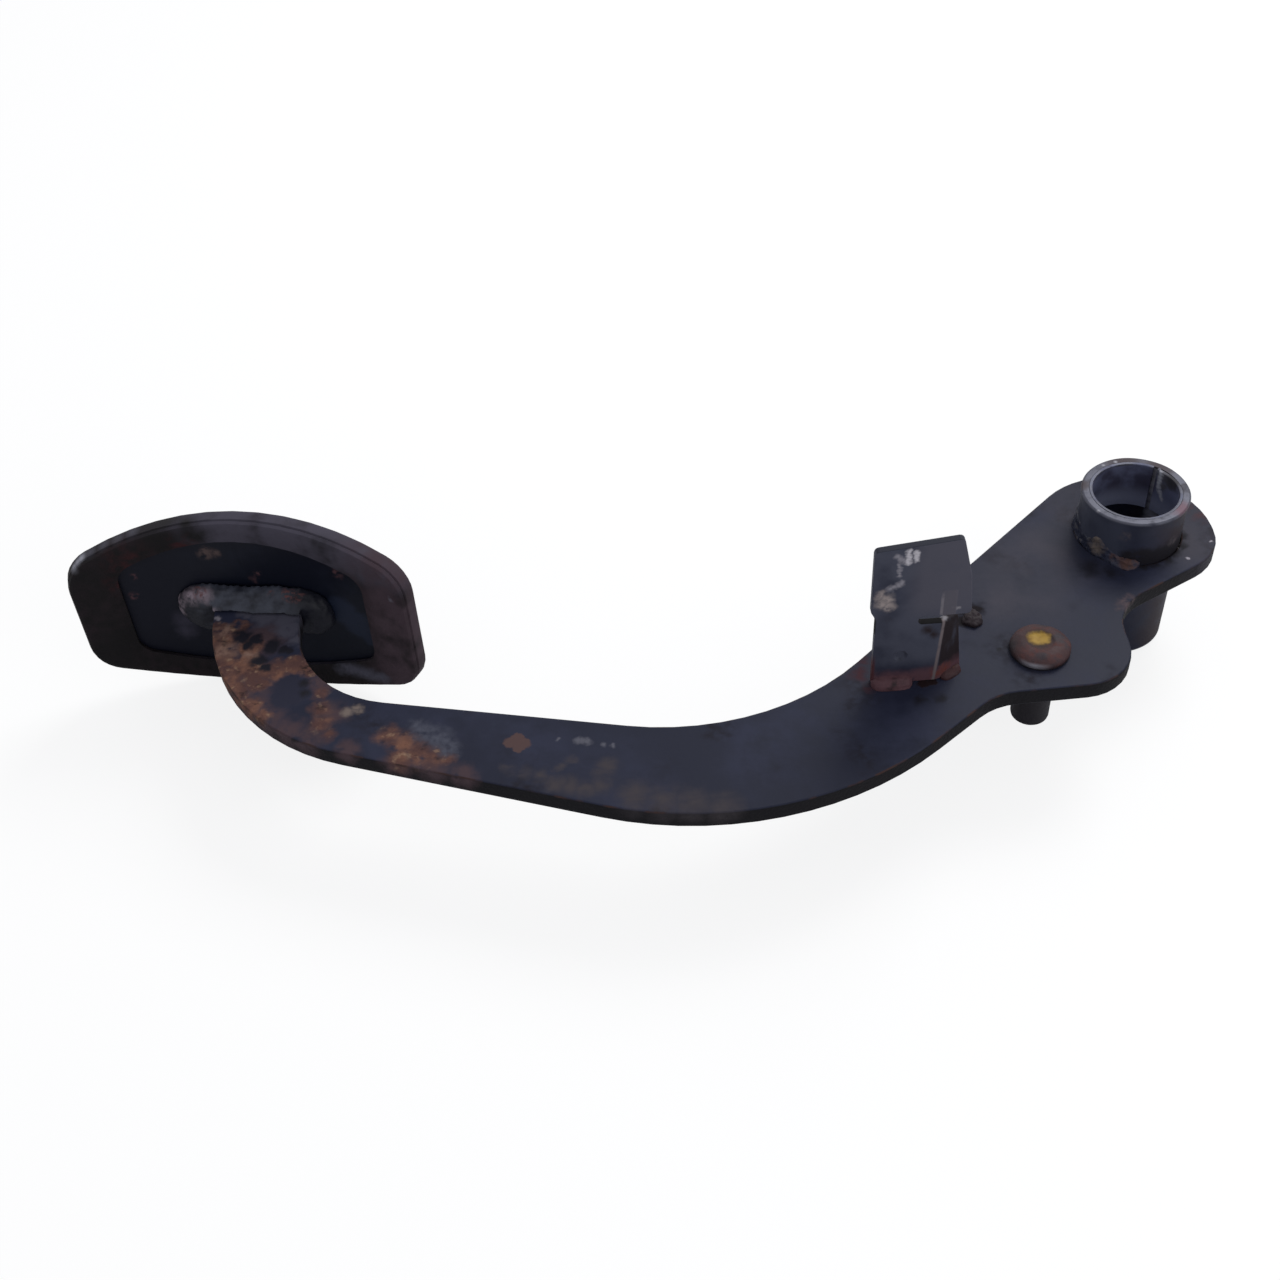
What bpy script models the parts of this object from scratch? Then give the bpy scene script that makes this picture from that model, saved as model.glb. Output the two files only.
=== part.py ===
"""Brake pedal with a flat steel arm, for Blender 4.5.

The arm is blanked from plate and swept like a shallow J. A pivot tube with two rolled bushes runs
through its head, a headed pin for the brake pushrod is riveted beside the tube, and a folded bracket
for the brake light switch stands on its upper face. At the far end a curved pad plate is welded
across the neck, and a rubber cover wraps the plate.

Metres, +Z up. The origin lies on the pivot axis at the middle of the arm's thickness, +Z runs along
the pivot axis, and the neck and the pad lie towards -X.
"""

from math import acos, ceil, cos, pi, radians, sin, sqrt, tan

import bmesh
import bpy
from mathutils import Vector

# Clearance left between pieces that touch or are welded together
CLEAR = 0.0003
# Largest distance between a true arc and the chords that stand for it
CHORD_ERROR = 0.00008

# Arm plate
ARM_T = 0.006
ARM_EDGE_R = 0.0007
NECK_X = -0.28935
NECK_W = 0.0295
NECK_IN_Y = -0.0458
NECK_IN_R = 0.038
NECK_OUT_Y = -0.0563
NECK_OUT_R = 0.070
# Corners of the bow, where the two flanks of the arm would meet without their fillets
BOW_IN_X = -0.1280
BOW_IN_Y = -0.0798
BOW_IN_R = 0.080
BOW_OUT_X = -0.1238
BOW_OUT_Y = -0.1210
BOW_OUT_R = 0.107

# Head of the arm, as the metal left beyond the tube and beyond the pin
HEAD_R = 0.029
HEAD_LEFT_X = -0.0127
HEAD_ABOVE_TUBE = 0.01205
HEAD_BEYOND_TUBE = 0.01095
TIP_Y = -0.0135
TIP_R = 0.0185
NOTCH_Y = -0.0349
NOTCH_R = 0.018
LOBE_BEYOND_PIN = 0.0279
LOBE_BELOW_PIN = 0.0159
LOBE_R = 0.0168
HIP_X = -0.0573
HIP_DROP = 0.0012
HIP_R = 0.020

# Pivot tube and its two rolled bushes
TUBE_R = 0.01665
TUBE_WALL = 0.0021
TUBE_ABOVE = 0.0174
TUBE_BELOW = 0.0344
TUBE_CHAMFER = 0.0004
BUSH_WALL = 0.0009
BUSH_L = 0.017
BUSH_SLIT = 0.0026
BUSH_SLIT_AT = radians(42)
BUSH_RECESS = 0.0004
TUBE_WELD_OUT = 0.0028
TUBE_WELD_H = 0.0068
TUBE_WELD_FROM = radians(95)
TUBE_WELD_SWEEP = radians(172)

# Pushrod pin
PIN_X = -0.0407
PIN_Y = -0.0516
PIN_R = 0.006
PIN_HEAD_R = 0.0093
PIN_HEAD_T = 0.0036
PIN_BELOW = 0.0231
PIN_CHAMFER = 0.0018
PIN_DISH_R = 0.0043
PIN_DISH_DEPTH = 0.0005

# Switch bracket, a folded sheet: x runs along the sheet from its left edge, z up from the arm
BRACKET_X = -0.0944
BRACKET_Y = -0.0613
BRACKET_T = 0.0025
BRACKET_H_LEFT = 0.0538
BRACKET_H_RIGHT = 0.0566
BRACKET_LEG_W = 0.0188
BRACKET_HEAD_Z = 0.0272
BRACKET_HEAD_STEP = 0.0015
BRACKET_HEAD_TOP_W = 0.0238
BRACKET_HEAD_WAIST_W = 0.027
BRACKET_HEAD_WAIST_Z = 0.0425
BRACKET_HEAD_WAIST_R = 0.015
BRACKET_HEAD_FOOT_W = 0.0283
BRACKET_CORNER_R = 0.0015
FLANGE_W = 0.0103
FLANGE_TOP_W = 0.0068
FLANGE_ANGLE = radians(35)
FLANGE_BEND_R = 0.002
SLOT_H = 0.003
SLOT_DEPTH = 0.006
DIMPLE_X = 0.0083
DIMPLE_Z = 0.0115
DIMPLE_R = 0.0022
DIMPLE_DEPTH = 0.0008
BRACKET_WELD_LEG = 0.0037
FRONT_WELD_L = 0.0125
FLANGE_WELD_L = 0.0078

# Pad: a rubber cover around a curved plate. u runs along it, v across it, w from its back to its tread
PAD_BEYOND_NECK = 0.00335
PAD_Y = -0.0009
PAD_TILT = radians(-9.4)
PAD_BEND_R = 0.149
PAD_L = 0.1162
PAD_LEFT_W = 0.0518
PAD_RIGHT_W = 0.0562
PAD_MID_W = 0.0734
PAD_CORNER_R = 0.0133
PAD_PLATE_T = 0.0025
PAD_PLATE_EDGE_R = 0.0005
RUBBER_LIP_T = 0.002
RUBBER_FRONT_T = 0.0023
RUBBER_WALL = 0.0035
RUBBER_EDGE_R = 0.0016
RUBBER_GROOVE = 0.0005
WINDOW_L = 0.084
WINDOW_END_W = 0.041
WINDOW_MID_W = 0.0565
WINDOW_CORNER_R = 0.008
WINDOW_SLOPE = 0.004
WINDOW_EDGE_T = 0.0012
TREAD_MARGIN = 0.008
TREAD_BAR_W = 0.0058
TREAD_GROOVE_W = 0.0046
TREAD_H = 0.0018
PAD_WELD_X = -0.0015
PAD_WELD_ALONG = 0.012
PAD_WELD_ACROSS = 0.006
PAD_WELD_H = 0.0065

# Steps along curves
PAD_EDGE_STEPS = 12
PAD_CORNER_STEPS = 6
BEND_STEPS = 16
TUBE_WELD_STEPS = 40
FOLD_STEPS = 4

# Heights that several pieces share
ARM_TOP = ARM_T / 2
ARM_BOTTOM = -ARM_T / 2
PLATE_BACK = RUBBER_LIP_T + CLEAR
PLATE_FRONT = PLATE_BACK + PAD_PLATE_T
RUBBER_FLOOR = PLATE_FRONT + CLEAR
RUBBER_FRONT = RUBBER_FLOOR + RUBBER_FRONT_T


def clear_scene():
    for old in list(bpy.data.objects):
        bpy.data.objects.remove(old, do_unlink=True)


def material(name, colour, roughness, metallic):
    made = bpy.data.materials.new(name)
    made.use_nodes = True
    shader = made.node_tree.nodes["Principled BSDF"]
    shader.inputs["Base Color"].default_value = (*colour, 1)
    shader.inputs["Roughness"].default_value = roughness
    shader.inputs["Metallic"].default_value = metallic
    made.diffuse_color = (*colour, 1)
    return made


def add_object(name, bm, finish, parent=None):
    """Turn a finished bmesh into a named object with smooth round stretches."""
    bmesh.ops.recalc_face_normals(bm, faces=bm.faces)
    if bm.calc_volume(signed=True) < 0:
        bmesh.ops.reverse_faces(bm, faces=bm.faces)
    mesh = bpy.data.meshes.new(name)
    bm.to_mesh(mesh)
    bm.free()
    mesh.materials.append(finish)
    mesh.shade_smooth()
    mesh.set_sharp_from_angle(angle=radians(32))
    made = bpy.data.objects.new(name, mesh)
    bpy.context.scene.collection.objects.link(made)
    made.parent = parent
    return made


def arc_steps(radius, turn):
    """Chords that an arc needs to stay within the chord error."""
    step = 2 * acos(1 - min(CHORD_ERROR / radius, 0.5))
    return max(3, ceil(turn / step))


def circle(radius, centre=(0, 0)):
    count = arc_steps(radius, 2 * pi)
    return [Vector((centre[0] + radius * cos(2 * pi * i / count),
                    centre[1] + radius * sin(2 * pi * i / count))) for i in range(count)]


def rounded_outline(corners):
    """Corners given as (x, y, fillet radius) become a closed outline of lines and arcs."""
    points = []
    for index, (x, y, radius) in enumerate(corners):
        corner = Vector((x, y))
        back = (Vector(corners[index - 1][:2]) - corner).normalized()
        ahead = (Vector(corners[(index + 1) % len(corners)][:2]) - corner).normalized()
        if radius == 0:
            points.append(corner)
            continue
        half = back.angle(ahead) / 2
        centre = corner + (back + ahead).normalized() * radius / sin(half)
        start = corner + back * radius / tan(half) - centre
        end = corner + ahead * radius / tan(half) - centre
        turn = start.angle_signed(end)
        steps = arc_steps(radius, abs(turn))
        for step in range(steps + 1):
            angle = -turn * step / steps
            points.append(centre + Vector((start.x * cos(angle) - start.y * sin(angle),
                                           start.x * sin(angle) + start.y * cos(angle))))
    return points


def inset(points, distance):
    """Move a counter-clockwise outline inwards by a distance, along its own normals."""
    moved = []
    for index, point in enumerate(points):
        back = (point - points[index - 1]).normalized()
        ahead = (points[(index + 1) % len(points)] - point).normalized()
        normal = Vector((-back.y - ahead.y, back.x + ahead.x)).normalized()
        reach = distance / max(normal.dot(Vector((-back.y, back.x))), 0.5)
        moved.append(point + normal * reach)
    return moved


def ring(bm, points, height):
    """A closed loop of vertices at one height, in the order of the outline."""
    return [bm.verts.new((p.x, p.y, height)) for p in points]


def loop_edges(bm, loop):
    found = []
    for index, vert in enumerate(loop):
        pair = (loop[index - 1], vert)
        found.append(bm.edges.get(pair) or bm.edges.new(pair))
    return found


def bridge(bm, loops):
    """Join each loop to the next with a band of faces."""
    for lower, upper in zip(loops, loops[1:]):
        for index in range(len(lower)):
            bm.faces.new((lower[index - 1], lower[index], upper[index], upper[index - 1]))


def cap(bm, *loops):
    """Fill the flat area that the loops enclose, holes included."""
    edges = [edge for loop in loops for edge in loop_edges(bm, loop)]
    bmesh.ops.triangle_fill(bm, use_beauty=True, use_dissolve=False, edges=edges)


def plate(bm, outline, holes, low, high, edge_r):
    """A flat plate with rounded edges and round holes."""
    levels = [(edge_r, low), (0.29 * edge_r, low + 0.29 * edge_r), (0, low + edge_r),
              (0, high - edge_r), (0.29 * edge_r, high - 0.29 * edge_r), (edge_r, high)]
    stacks = []
    for loop in (outline, *holes):
        sign = 1 if loop is outline else -1
        stack = [ring(bm, inset(loop, sign * depth), height) for depth, height in levels]
        bridge(bm, stack)
        stacks.append(stack)
    cap(bm, *[stack[0] for stack in stacks])
    cap(bm, *[stack[-1] for stack in stacks])


def turned(bm, profile, count):
    """Revolve a profile of (radius, height) points about Z; returns the loops, one for each point."""
    loops = []
    for radius, height in profile:
        loops.append([bm.verts.new((radius * cos(2 * pi * i / count),
                                    radius * sin(2 * pi * i / count), height)) for i in range(count)])
    bridge(bm, loops)
    return loops


def turned_ring(profile, count):
    """Revolve a closed profile, such as a tube's wall."""
    bm = bmesh.new()
    loops = turned(bm, profile, count)
    bridge(bm, [loops[-1], loops[0]])
    return bm


def neck_end_y(x):
    """Height of the pad plate's back above the x axis, less the clearance of the butt joint."""
    centre = Vector((NECK_X - PAD_BEYOND_NECK + PAD_BEND_R * sin(PAD_TILT), PAD_Y - PAD_BEND_R * cos(PAD_TILT)))
    reach = PAD_BEND_R + PLATE_BACK - CLEAR
    return centre.y + sqrt(reach ** 2 - (x - centre.x) ** 2)


def arm_outline():
    """The blank, counter-clockwise: neck, outer flank, hip, pin lobe, notch, head, inner flank."""
    neck_out = NECK_X - NECK_W / 2
    neck_in = NECK_X + NECK_W / 2
    head_top = TUBE_R + HEAD_ABOVE_TUBE
    head_tip = TUBE_R + HEAD_BEYOND_TUBE
    lobe_x = PIN_X + LOBE_BEYOND_PIN
    lobe_y = PIN_Y - LOBE_BELOW_PIN
    corners = [
        (neck_out, NECK_OUT_Y, NECK_OUT_R),
        (BOW_OUT_X, BOW_OUT_Y, BOW_OUT_R),
        (HIP_X, lobe_y - HIP_DROP, HIP_R),
        (lobe_x, lobe_y, LOBE_R),
        (lobe_x, NOTCH_Y, NOTCH_R),
        (head_tip, TIP_Y, TIP_R),
        (head_tip, head_top, HEAD_R),
        (HEAD_LEFT_X, head_top, HEAD_R),
        (BOW_IN_X, BOW_IN_Y, BOW_IN_R),
        (neck_in, NECK_IN_Y, NECK_IN_R),
    ]
    steps = 6
    for step in range(steps + 1):
        x = neck_in + (neck_out - neck_in) * step / steps
        corners.append((x, neck_end_y(x), 0))
    return rounded_outline(corners)


def build_arm(finish):
    bm = bmesh.new()
    holes = [circle(TUBE_R + CLEAR), circle(PIN_R + CLEAR, (PIN_X, PIN_Y))]
    plate(bm, arm_outline(), holes, ARM_BOTTOM, ARM_TOP, ARM_EDGE_R)
    add_object("pedal_arm", bm, finish)


def build_tube(finish):
    top = ARM_TOP + TUBE_ABOVE
    bottom = ARM_BOTTOM - TUBE_BELOW
    inner = TUBE_R - TUBE_WALL
    profile = [(TUBE_R, top - TUBE_CHAMFER), (TUBE_R, bottom + TUBE_CHAMFER),
               (TUBE_R - TUBE_CHAMFER, bottom), (inner + TUBE_CHAMFER, bottom),
               (inner, bottom + TUBE_CHAMFER), (inner, top - TUBE_CHAMFER),
               (inner + TUBE_CHAMFER, top), (TUBE_R - TUBE_CHAMFER, top)]
    add_object("pivot_tube", turned_ring(profile, 64), finish)


def build_tube_weld(finish):
    """The bead that runs part of the way round the tube on the arm's upper face, thinner at its two ends."""
    bm = bmesh.new()
    root = TUBE_R + CLEAR
    foot = ARM_TOP + CLEAR
    belly = [(0, 0), (1, 0), (0.96, 0.12), (0.74, 0.32), (0.64, 0.55), (0.6, 0.8), (0.34, 0.95), (0, 1)]
    loops = []
    for step in range(TUBE_WELD_STEPS + 1):
        share = step / TUBE_WELD_STEPS
        angle = TUBE_WELD_FROM + TUBE_WELD_SWEEP * share
        size = 0.35 + 0.65 * sqrt(max(1 - abs(2 * share - 1) ** 5, 0))
        section = [(root + TUBE_WELD_OUT * spread * size, foot + TUBE_WELD_H * rise * size)
                   for spread, rise in belly]
        loops.append([bm.verts.new((r * cos(angle), r * sin(angle), z)) for r, z in section])
    bridge(bm, loops)
    bm.faces.new(loops[0])
    bm.faces.new(loops[-1])
    add_object("tube_weld", bm, finish)


def build_bush(name, outer_end, direction, finish):
    """A rolled bush with its slit open, pressed into one end of the tube."""
    bm = bmesh.new()
    outer = TUBE_R - TUBE_WALL - CLEAR
    inner = outer - BUSH_WALL
    start = outer_end + direction * BUSH_RECESS
    profile = [(outer, start), (outer, start + direction * BUSH_L),
               (inner, start + direction * BUSH_L), (inner, start)]
    slit = BUSH_SLIT / outer
    count = 56
    loops = []
    for step in range(count + 1):
        angle = BUSH_SLIT_AT + slit / 2 + (2 * pi - slit) * step / count
        loops.append([bm.verts.new((r * cos(angle), r * sin(angle), z)) for r, z in profile])
    bridge(bm, loops)
    bm.faces.new(loops[0])
    bm.faces.new(loops[-1])
    add_object(name, bm, finish)


def build_pin(finish):
    """Headed pin through the arm: a dished, rounded head above and a plain shank below."""
    bm = bmesh.new()
    under = ARM_TOP + CLEAR
    top = under + PIN_HEAD_T
    end = ARM_BOTTOM - PIN_BELOW
    profile = [(PIN_DISH_R * 0.7, top - PIN_DISH_DEPTH), (PIN_DISH_R, top),
               (PIN_HEAD_R * 0.66, top - PIN_HEAD_T * 0.07), (PIN_HEAD_R * 0.83, top - PIN_HEAD_T * 0.22),
               (PIN_HEAD_R * 0.95, top - PIN_HEAD_T * 0.43), (PIN_HEAD_R, top - PIN_HEAD_T * 0.68),
               (PIN_HEAD_R * 0.99, under),
               (PIN_R, under), (PIN_R, end + PIN_CHAMFER),
               (PIN_R - PIN_CHAMFER * 0.35, end + PIN_CHAMFER * 0.35), (PIN_R - PIN_CHAMFER, end)]
    loops = turned(bm, profile, 40)
    cap(bm, loops[0])
    cap(bm, loops[-1])
    made = add_object("pushrod_pin", bm, finish)
    made.location = (PIN_X, PIN_Y, 0)


def bracket_outline():
    """The bracket's flat blank, counter-clockwise from its lower left corner."""
    slot_end = BRACKET_LEG_W - SLOT_DEPTH
    slot_low = BRACKET_HEAD_Z - SLOT_H
    return rounded_outline([
        (0, 0, 0),
        (BRACKET_LEG_W + FLANGE_W, 0, 0),
        (BRACKET_LEG_W + FLANGE_TOP_W, slot_low, BRACKET_CORNER_R),
        (slot_end, slot_low, SLOT_H * 0.4),
        (slot_end, BRACKET_HEAD_Z, SLOT_H * 0.4),
        (BRACKET_HEAD_FOOT_W, BRACKET_HEAD_Z, BRACKET_CORNER_R),
        (BRACKET_HEAD_WAIST_W, BRACKET_HEAD_WAIST_Z, BRACKET_HEAD_WAIST_R),
        (BRACKET_HEAD_TOP_W, BRACKET_H_RIGHT, BRACKET_CORNER_R),
        (-BRACKET_HEAD_STEP, BRACKET_H_LEFT, BRACKET_CORNER_R),
        (-BRACKET_HEAD_STEP, BRACKET_HEAD_Z + BRACKET_HEAD_STEP * 2, BRACKET_CORNER_R),
        (0, BRACKET_HEAD_Z, BRACKET_CORNER_R),
    ])


def fold(vert):
    """Bend the flange back about the fold line; the head beyond the slot stays flat."""
    beyond = vert.co.x - BRACKET_LEG_W
    if beyond <= 0 or vert.co.z > BRACKET_HEAD_Z - SLOT_H / 2:
        return
    middle_r = FLANGE_BEND_R + BRACKET_T / 2
    radius = FLANGE_BEND_R + BRACKET_T - vert.co.y
    angle = min(beyond / middle_r, FLANGE_ANGLE)
    straight = max(beyond - middle_r * FLANGE_ANGLE, 0)
    vert.co.x = BRACKET_LEG_W + radius * sin(angle) + straight * cos(angle)
    vert.co.y = FLANGE_BEND_R + BRACKET_T - radius * cos(angle) + straight * sin(angle)


def build_bracket(finish):
    bm = bmesh.new()
    outline = bracket_outline()
    dimple = circle(DIMPLE_R, (DIMPLE_X, DIMPLE_Z))
    front = ring(bm, outline, 0)
    back = ring(bm, outline, BRACKET_T)
    mouth = ring(bm, dimple, 0)
    floor = ring(bm, inset(dimple, DIMPLE_R * 0.35), DIMPLE_DEPTH)
    bridge(bm, [front, back])
    bridge(bm, [mouth, floor])
    cap(bm, front, mouth)
    cap(bm, back)
    cap(bm, floor)
    # The blank was drawn lying down: stand it up, so that its depth runs along +Y
    for vert in bm.verts:
        vert.co = Vector((vert.co.x, vert.co.z, vert.co.y))
    bend_length = (FLANGE_BEND_R + BRACKET_T / 2) * FLANGE_ANGLE
    for step in range(FOLD_STEPS + 1):
        line = BRACKET_LEG_W + bend_length * step / FOLD_STEPS
        bmesh.ops.bisect_plane(bm, geom=bm.verts[:] + bm.edges[:] + bm.faces[:], dist=1e-7,
                               plane_co=(line, 0, 0), plane_no=(1, 0, 0))
    for vert in bm.verts:
        fold(vert)
    made = add_object("switch_bracket", bm, finish)
    made.location = (BRACKET_X, BRACKET_Y, ARM_TOP + CLEAR)


def build_bead(name, start, end, outwards, leg, finish):
    """A straight fillet weld on the arm's upper face, tapering to its two ends."""
    bm = bmesh.new()
    start = Vector((*start, ARM_TOP + CLEAR))
    end = Vector((*end, ARM_TOP + CLEAR))
    out = Vector((*outwards, 0)).normalized()
    up = Vector((0, 0, 1))
    stations = 12
    loops = []
    for step in range(stations + 1):
        share = step / stations
        size = leg * (0.45 + 0.55 * sqrt(max(1 - abs(2 * share - 1) ** 3, 0)))
        foot = start.lerp(end, share)
        section = [foot, foot + out * size, foot + out * size * 0.86 + up * size * 0.42,
                   foot + out * size * 0.48 + up * size * 0.84, foot + up * size]
        loops.append([bm.verts.new(point) for point in section])
    bridge(bm, loops)
    bm.faces.new(loops[0])
    bm.faces.new(loops[-1])
    add_object(name, bm, finish)


def build_bracket_welds(finish):
    """One bead along the foot of the bracket's face and one along the foot of its flange."""
    front_y = BRACKET_Y - CLEAR
    build_bead("bracket_weld_front", (BRACKET_X, front_y), (BRACKET_X + FRONT_WELD_L, front_y),
               (0, -1), BRACKET_WELD_LEG, finish)
    radius = FLANGE_BEND_R + BRACKET_T
    along = Vector((cos(FLANGE_ANGLE), sin(FLANGE_ANGLE)))
    outwards = Vector((along.y, -along.x))
    bend_end = Vector((BRACKET_X + BRACKET_LEG_W + radius * sin(FLANGE_ANGLE),
                       BRACKET_Y + radius - radius * cos(FLANGE_ANGLE)))
    start = bend_end + outwards * CLEAR
    build_bead("bracket_weld_flange", start, start + along * FLANGE_WELD_L, outwards,
               BRACKET_WELD_LEG * 0.8, finish)


def pad_outline(length, left, right, middle, radius, depth=0):
    """The barrel shape of the pad, inset by a depth: straight ends, bowed sides and round corners.

    A core outline with sharp corners is offset by what is left of the corner radius.
    """
    reach = length / 2 - radius
    offset = radius - depth
    mean = (left + right) / 4 - radius
    lean = (right - left) / 4 / reach
    bow = (middle - (left + right) / 2) / 2

    def side(u):
        slope = lean - 2 * bow * u / reach ** 2
        point = Vector((u, mean + lean * u + bow * (1 - (u / reach) ** 2)))
        return point, Vector((-slope, 1)).normalized()

    upper = []
    for step in range(PAD_CORNER_STEPS):
        corner, normal = side(reach)
        full = pi / 2 - Vector((0, 1)).angle(normal)
        angle = full * step / PAD_CORNER_STEPS
        upper.append(corner + Vector((cos(angle), sin(angle))) * offset)
    for step in range(PAD_EDGE_STEPS + 1):
        corner, normal = side(reach - 2 * reach * step / PAD_EDGE_STEPS)
        upper.append(corner + normal * offset)
    for step in range(1, PAD_CORNER_STEPS + 1):
        corner, normal = side(-reach)
        full = pi / 2 - Vector((0, 1)).angle(normal)
        angle = pi - full + full * step / PAD_CORNER_STEPS
        upper.append(corner + Vector((cos(angle), sin(angle))) * offset)
    lower = [Vector((p.x, -p.y)) for p in reversed(upper)]
    return upper + lower


def cover_outline(depth):
    return pad_outline(PAD_L, PAD_LEFT_W, PAD_RIGHT_W, PAD_MID_W, PAD_CORNER_R, depth)


def window_outline(depth):
    return pad_outline(WINDOW_L, WINDOW_END_W, WINDOW_END_W, WINDOW_MID_W, WINDOW_CORNER_R, depth)


def bend(bm):
    """Cut a flat pad piece into columns and roll them about the pad's centre of curvature."""
    for step in range(1, BEND_STEPS):
        line = PAD_L * (step / BEND_STEPS - 0.5)
        bmesh.ops.bisect_plane(bm, geom=bm.verts[:] + bm.edges[:] + bm.faces[:], dist=1e-7,
                               plane_co=(line, 0, 0), plane_no=(1, 0, 0))
    for vert in bm.verts:
        u, v, w = vert.co
        vert.co = Vector(((PAD_BEND_R + w) * sin(u / PAD_BEND_R),
                          (PAD_BEND_R + w) * cos(u / PAD_BEND_R) - PAD_BEND_R, v))


def build_pad_plate(frame, finish):
    bm = bmesh.new()
    plate(bm, cover_outline(RUBBER_WALL + CLEAR), [], PLATE_BACK, PLATE_FRONT, PAD_PLATE_EDGE_R)
    bend(bm)
    add_object("pad_plate", bm, finish, frame)


def raise_tread(bm, field):
    """Raise the bars of the tread out of the cover's front."""
    pitch = TREAD_BAR_W + TREAD_GROOVE_W
    count = int((PAD_L / 2 - TREAD_MARGIN) / pitch)
    starts = [pitch * (index - count) - TREAD_BAR_W / 2 for index in range(2 * count + 1)]
    starts = [u for u in starts if abs(u + TREAD_BAR_W / 2) < PAD_L / 2 - TREAD_MARGIN - pitch / 2]
    face = bm.faces.new(field)
    field_faces = [face]
    for u in [line for start in starts for line in (start, start + TREAD_BAR_W)]:
        geometry = set(field_faces)
        for old in field_faces:
            geometry.update(old.edges)
            geometry.update(old.verts)
        cut = bmesh.ops.bisect_plane(bm, geom=list(geometry), dist=1e-7,
                                     plane_co=(u, 0, 0), plane_no=(1, 0, 0))
        field_faces = [item for item in cut["geom"] if isinstance(item, bmesh.types.BMFace)]
    for old in field_faces:
        middle = old.calc_center_median().x
        if not any(start < middle < start + TREAD_BAR_W for start in starts):
            continue
        made = bmesh.ops.extrude_discrete_faces(bm, faces=[old])["faces"][0]
        bmesh.ops.translate(bm, vec=(0, 0, TREAD_H), verts=made.verts)


def build_pad_rubber(frame, finish):
    """The cover as one skin: tread, outer edge, back lip with its window, and the plate's pocket."""
    bm = bmesh.new()
    soft = RUBBER_EDGE_R * 0.29
    groove = RUBBER_LIP_T
    outer = [
        (TREAD_MARGIN, RUBBER_FRONT),
        (RUBBER_EDGE_R, RUBBER_FRONT),
        (soft, RUBBER_FRONT - soft),
        (0, RUBBER_FRONT - RUBBER_EDGE_R),
        (0, groove + RUBBER_GROOVE),
        (RUBBER_GROOVE, groove),
        (0, groove - RUBBER_GROOVE),
        (soft, soft),
        (RUBBER_EDGE_R, 0),
    ]
    loops = [ring(bm, cover_outline(depth), height) for depth, height in outer]
    loops.append(ring(bm, window_outline(-WINDOW_SLOPE), 0))
    loops.append(ring(bm, window_outline(0), RUBBER_LIP_T - WINDOW_EDGE_T))
    loops.append(ring(bm, window_outline(0), RUBBER_LIP_T))
    loops.append(ring(bm, cover_outline(RUBBER_WALL), RUBBER_LIP_T))
    loops.append(ring(bm, cover_outline(RUBBER_WALL), RUBBER_FLOOR))
    bridge(bm, loops)
    bm.faces.new(loops[-1])
    raise_tread(bm, loops[0])
    bend(bm)
    add_object("pad_rubber", bm, finish, frame)


def weld_loop(beyond_along, beyond_across):
    """Outline of the pad weld at one level: the neck's section grown along and across it."""
    shift = PAD_WELD_X * beyond_along / PAD_WELD_ALONG
    half_x = NECK_W / 2 + CLEAR + beyond_along
    half_z = ARM_T / 2 + CLEAR + beyond_across
    radius = max(half_z * beyond_across / PAD_WELD_ACROSS, ARM_EDGE_R)
    loop = []
    for quarter in range(4):
        side_x = 1 if quarter in (0, 3) else -1
        side_z = 1 if quarter in (0, 1) else -1
        for step in range(PAD_CORNER_STEPS + 1):
            angle = pi / 2 * (quarter + step / PAD_CORNER_STEPS)
            loop.append((NECK_X + shift + side_x * (half_x - radius) + radius * cos(angle),
                         side_z * (half_z - radius) + radius * sin(angle)))
    return loop


def build_pad_weld(finish):
    """The weld that wraps the neck where it butts against the pad plate."""
    bm = bmesh.new()
    levels = [(1, 0), (0.9, 0.35), (0.66, 0.75), (0.3, 1), (0, 1), (0, 0)]
    loops = []
    for spread, rise in levels:
        outline = weld_loop(PAD_WELD_ALONG * spread, PAD_WELD_ACROSS * spread)
        loops.append([bm.verts.new((x, neck_end_y(x) - PAD_WELD_H * rise, z)) for x, z in outline])
    bridge(bm, loops + [loops[0]])
    add_object("pad_weld", bm, finish)


def build():
    clear_scene()
    frame = bpy.data.objects.new("pad_frame", None)
    frame.location = (NECK_X - PAD_BEYOND_NECK, PAD_Y, 0)
    frame.rotation_euler = (0, 0, PAD_TILT)
    bpy.context.scene.collection.objects.link(frame)

    painted = material("painted_steel", (0.028, 0.028, 0.042), 0.5, 0.2)
    worn = material("worn_steel", (0.12, 0.10, 0.10), 0.45, 0.8)
    rusty = material("rusty_weld", (0.13, 0.06, 0.035), 0.8, 0.1)
    bronze = material("bush_lining", (0.09, 0.09, 0.11), 0.4, 0.8)
    pressed = material("pad_steel", (0.02, 0.022, 0.038), 0.45, 0.2)
    rubber = material("black_rubber", (0.02, 0.016, 0.016), 0.7, 0.0)

    build_arm(painted)
    build_tube(painted)
    build_tube_weld(painted)
    build_bush("pivot_bush_upper", ARM_TOP + TUBE_ABOVE, -1, bronze)
    build_bush("pivot_bush_lower", ARM_BOTTOM - TUBE_BELOW, 1, bronze)
    build_pin(worn)
    build_bracket(painted)
    build_bracket_welds(rusty)
    build_pad_plate(frame, pressed)
    build_pad_rubber(frame, rubber)
    build_pad_weld(rusty)
    bpy.context.view_layer.update()


build()
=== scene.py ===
"""Dress the solids of a used brake pedal: worn paint, rust, weld beads, a rolled bush and a rubber cover."""

from math import atan2, cos, degrees, exp, hypot, pi, radians, sin

import bpy
from bpy.props import FloatProperty, FloatVectorProperty, PointerProperty
from bpy.types import Operator, Panel, PropertyGroup
from mathutils import Matrix, Vector, noise


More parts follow.
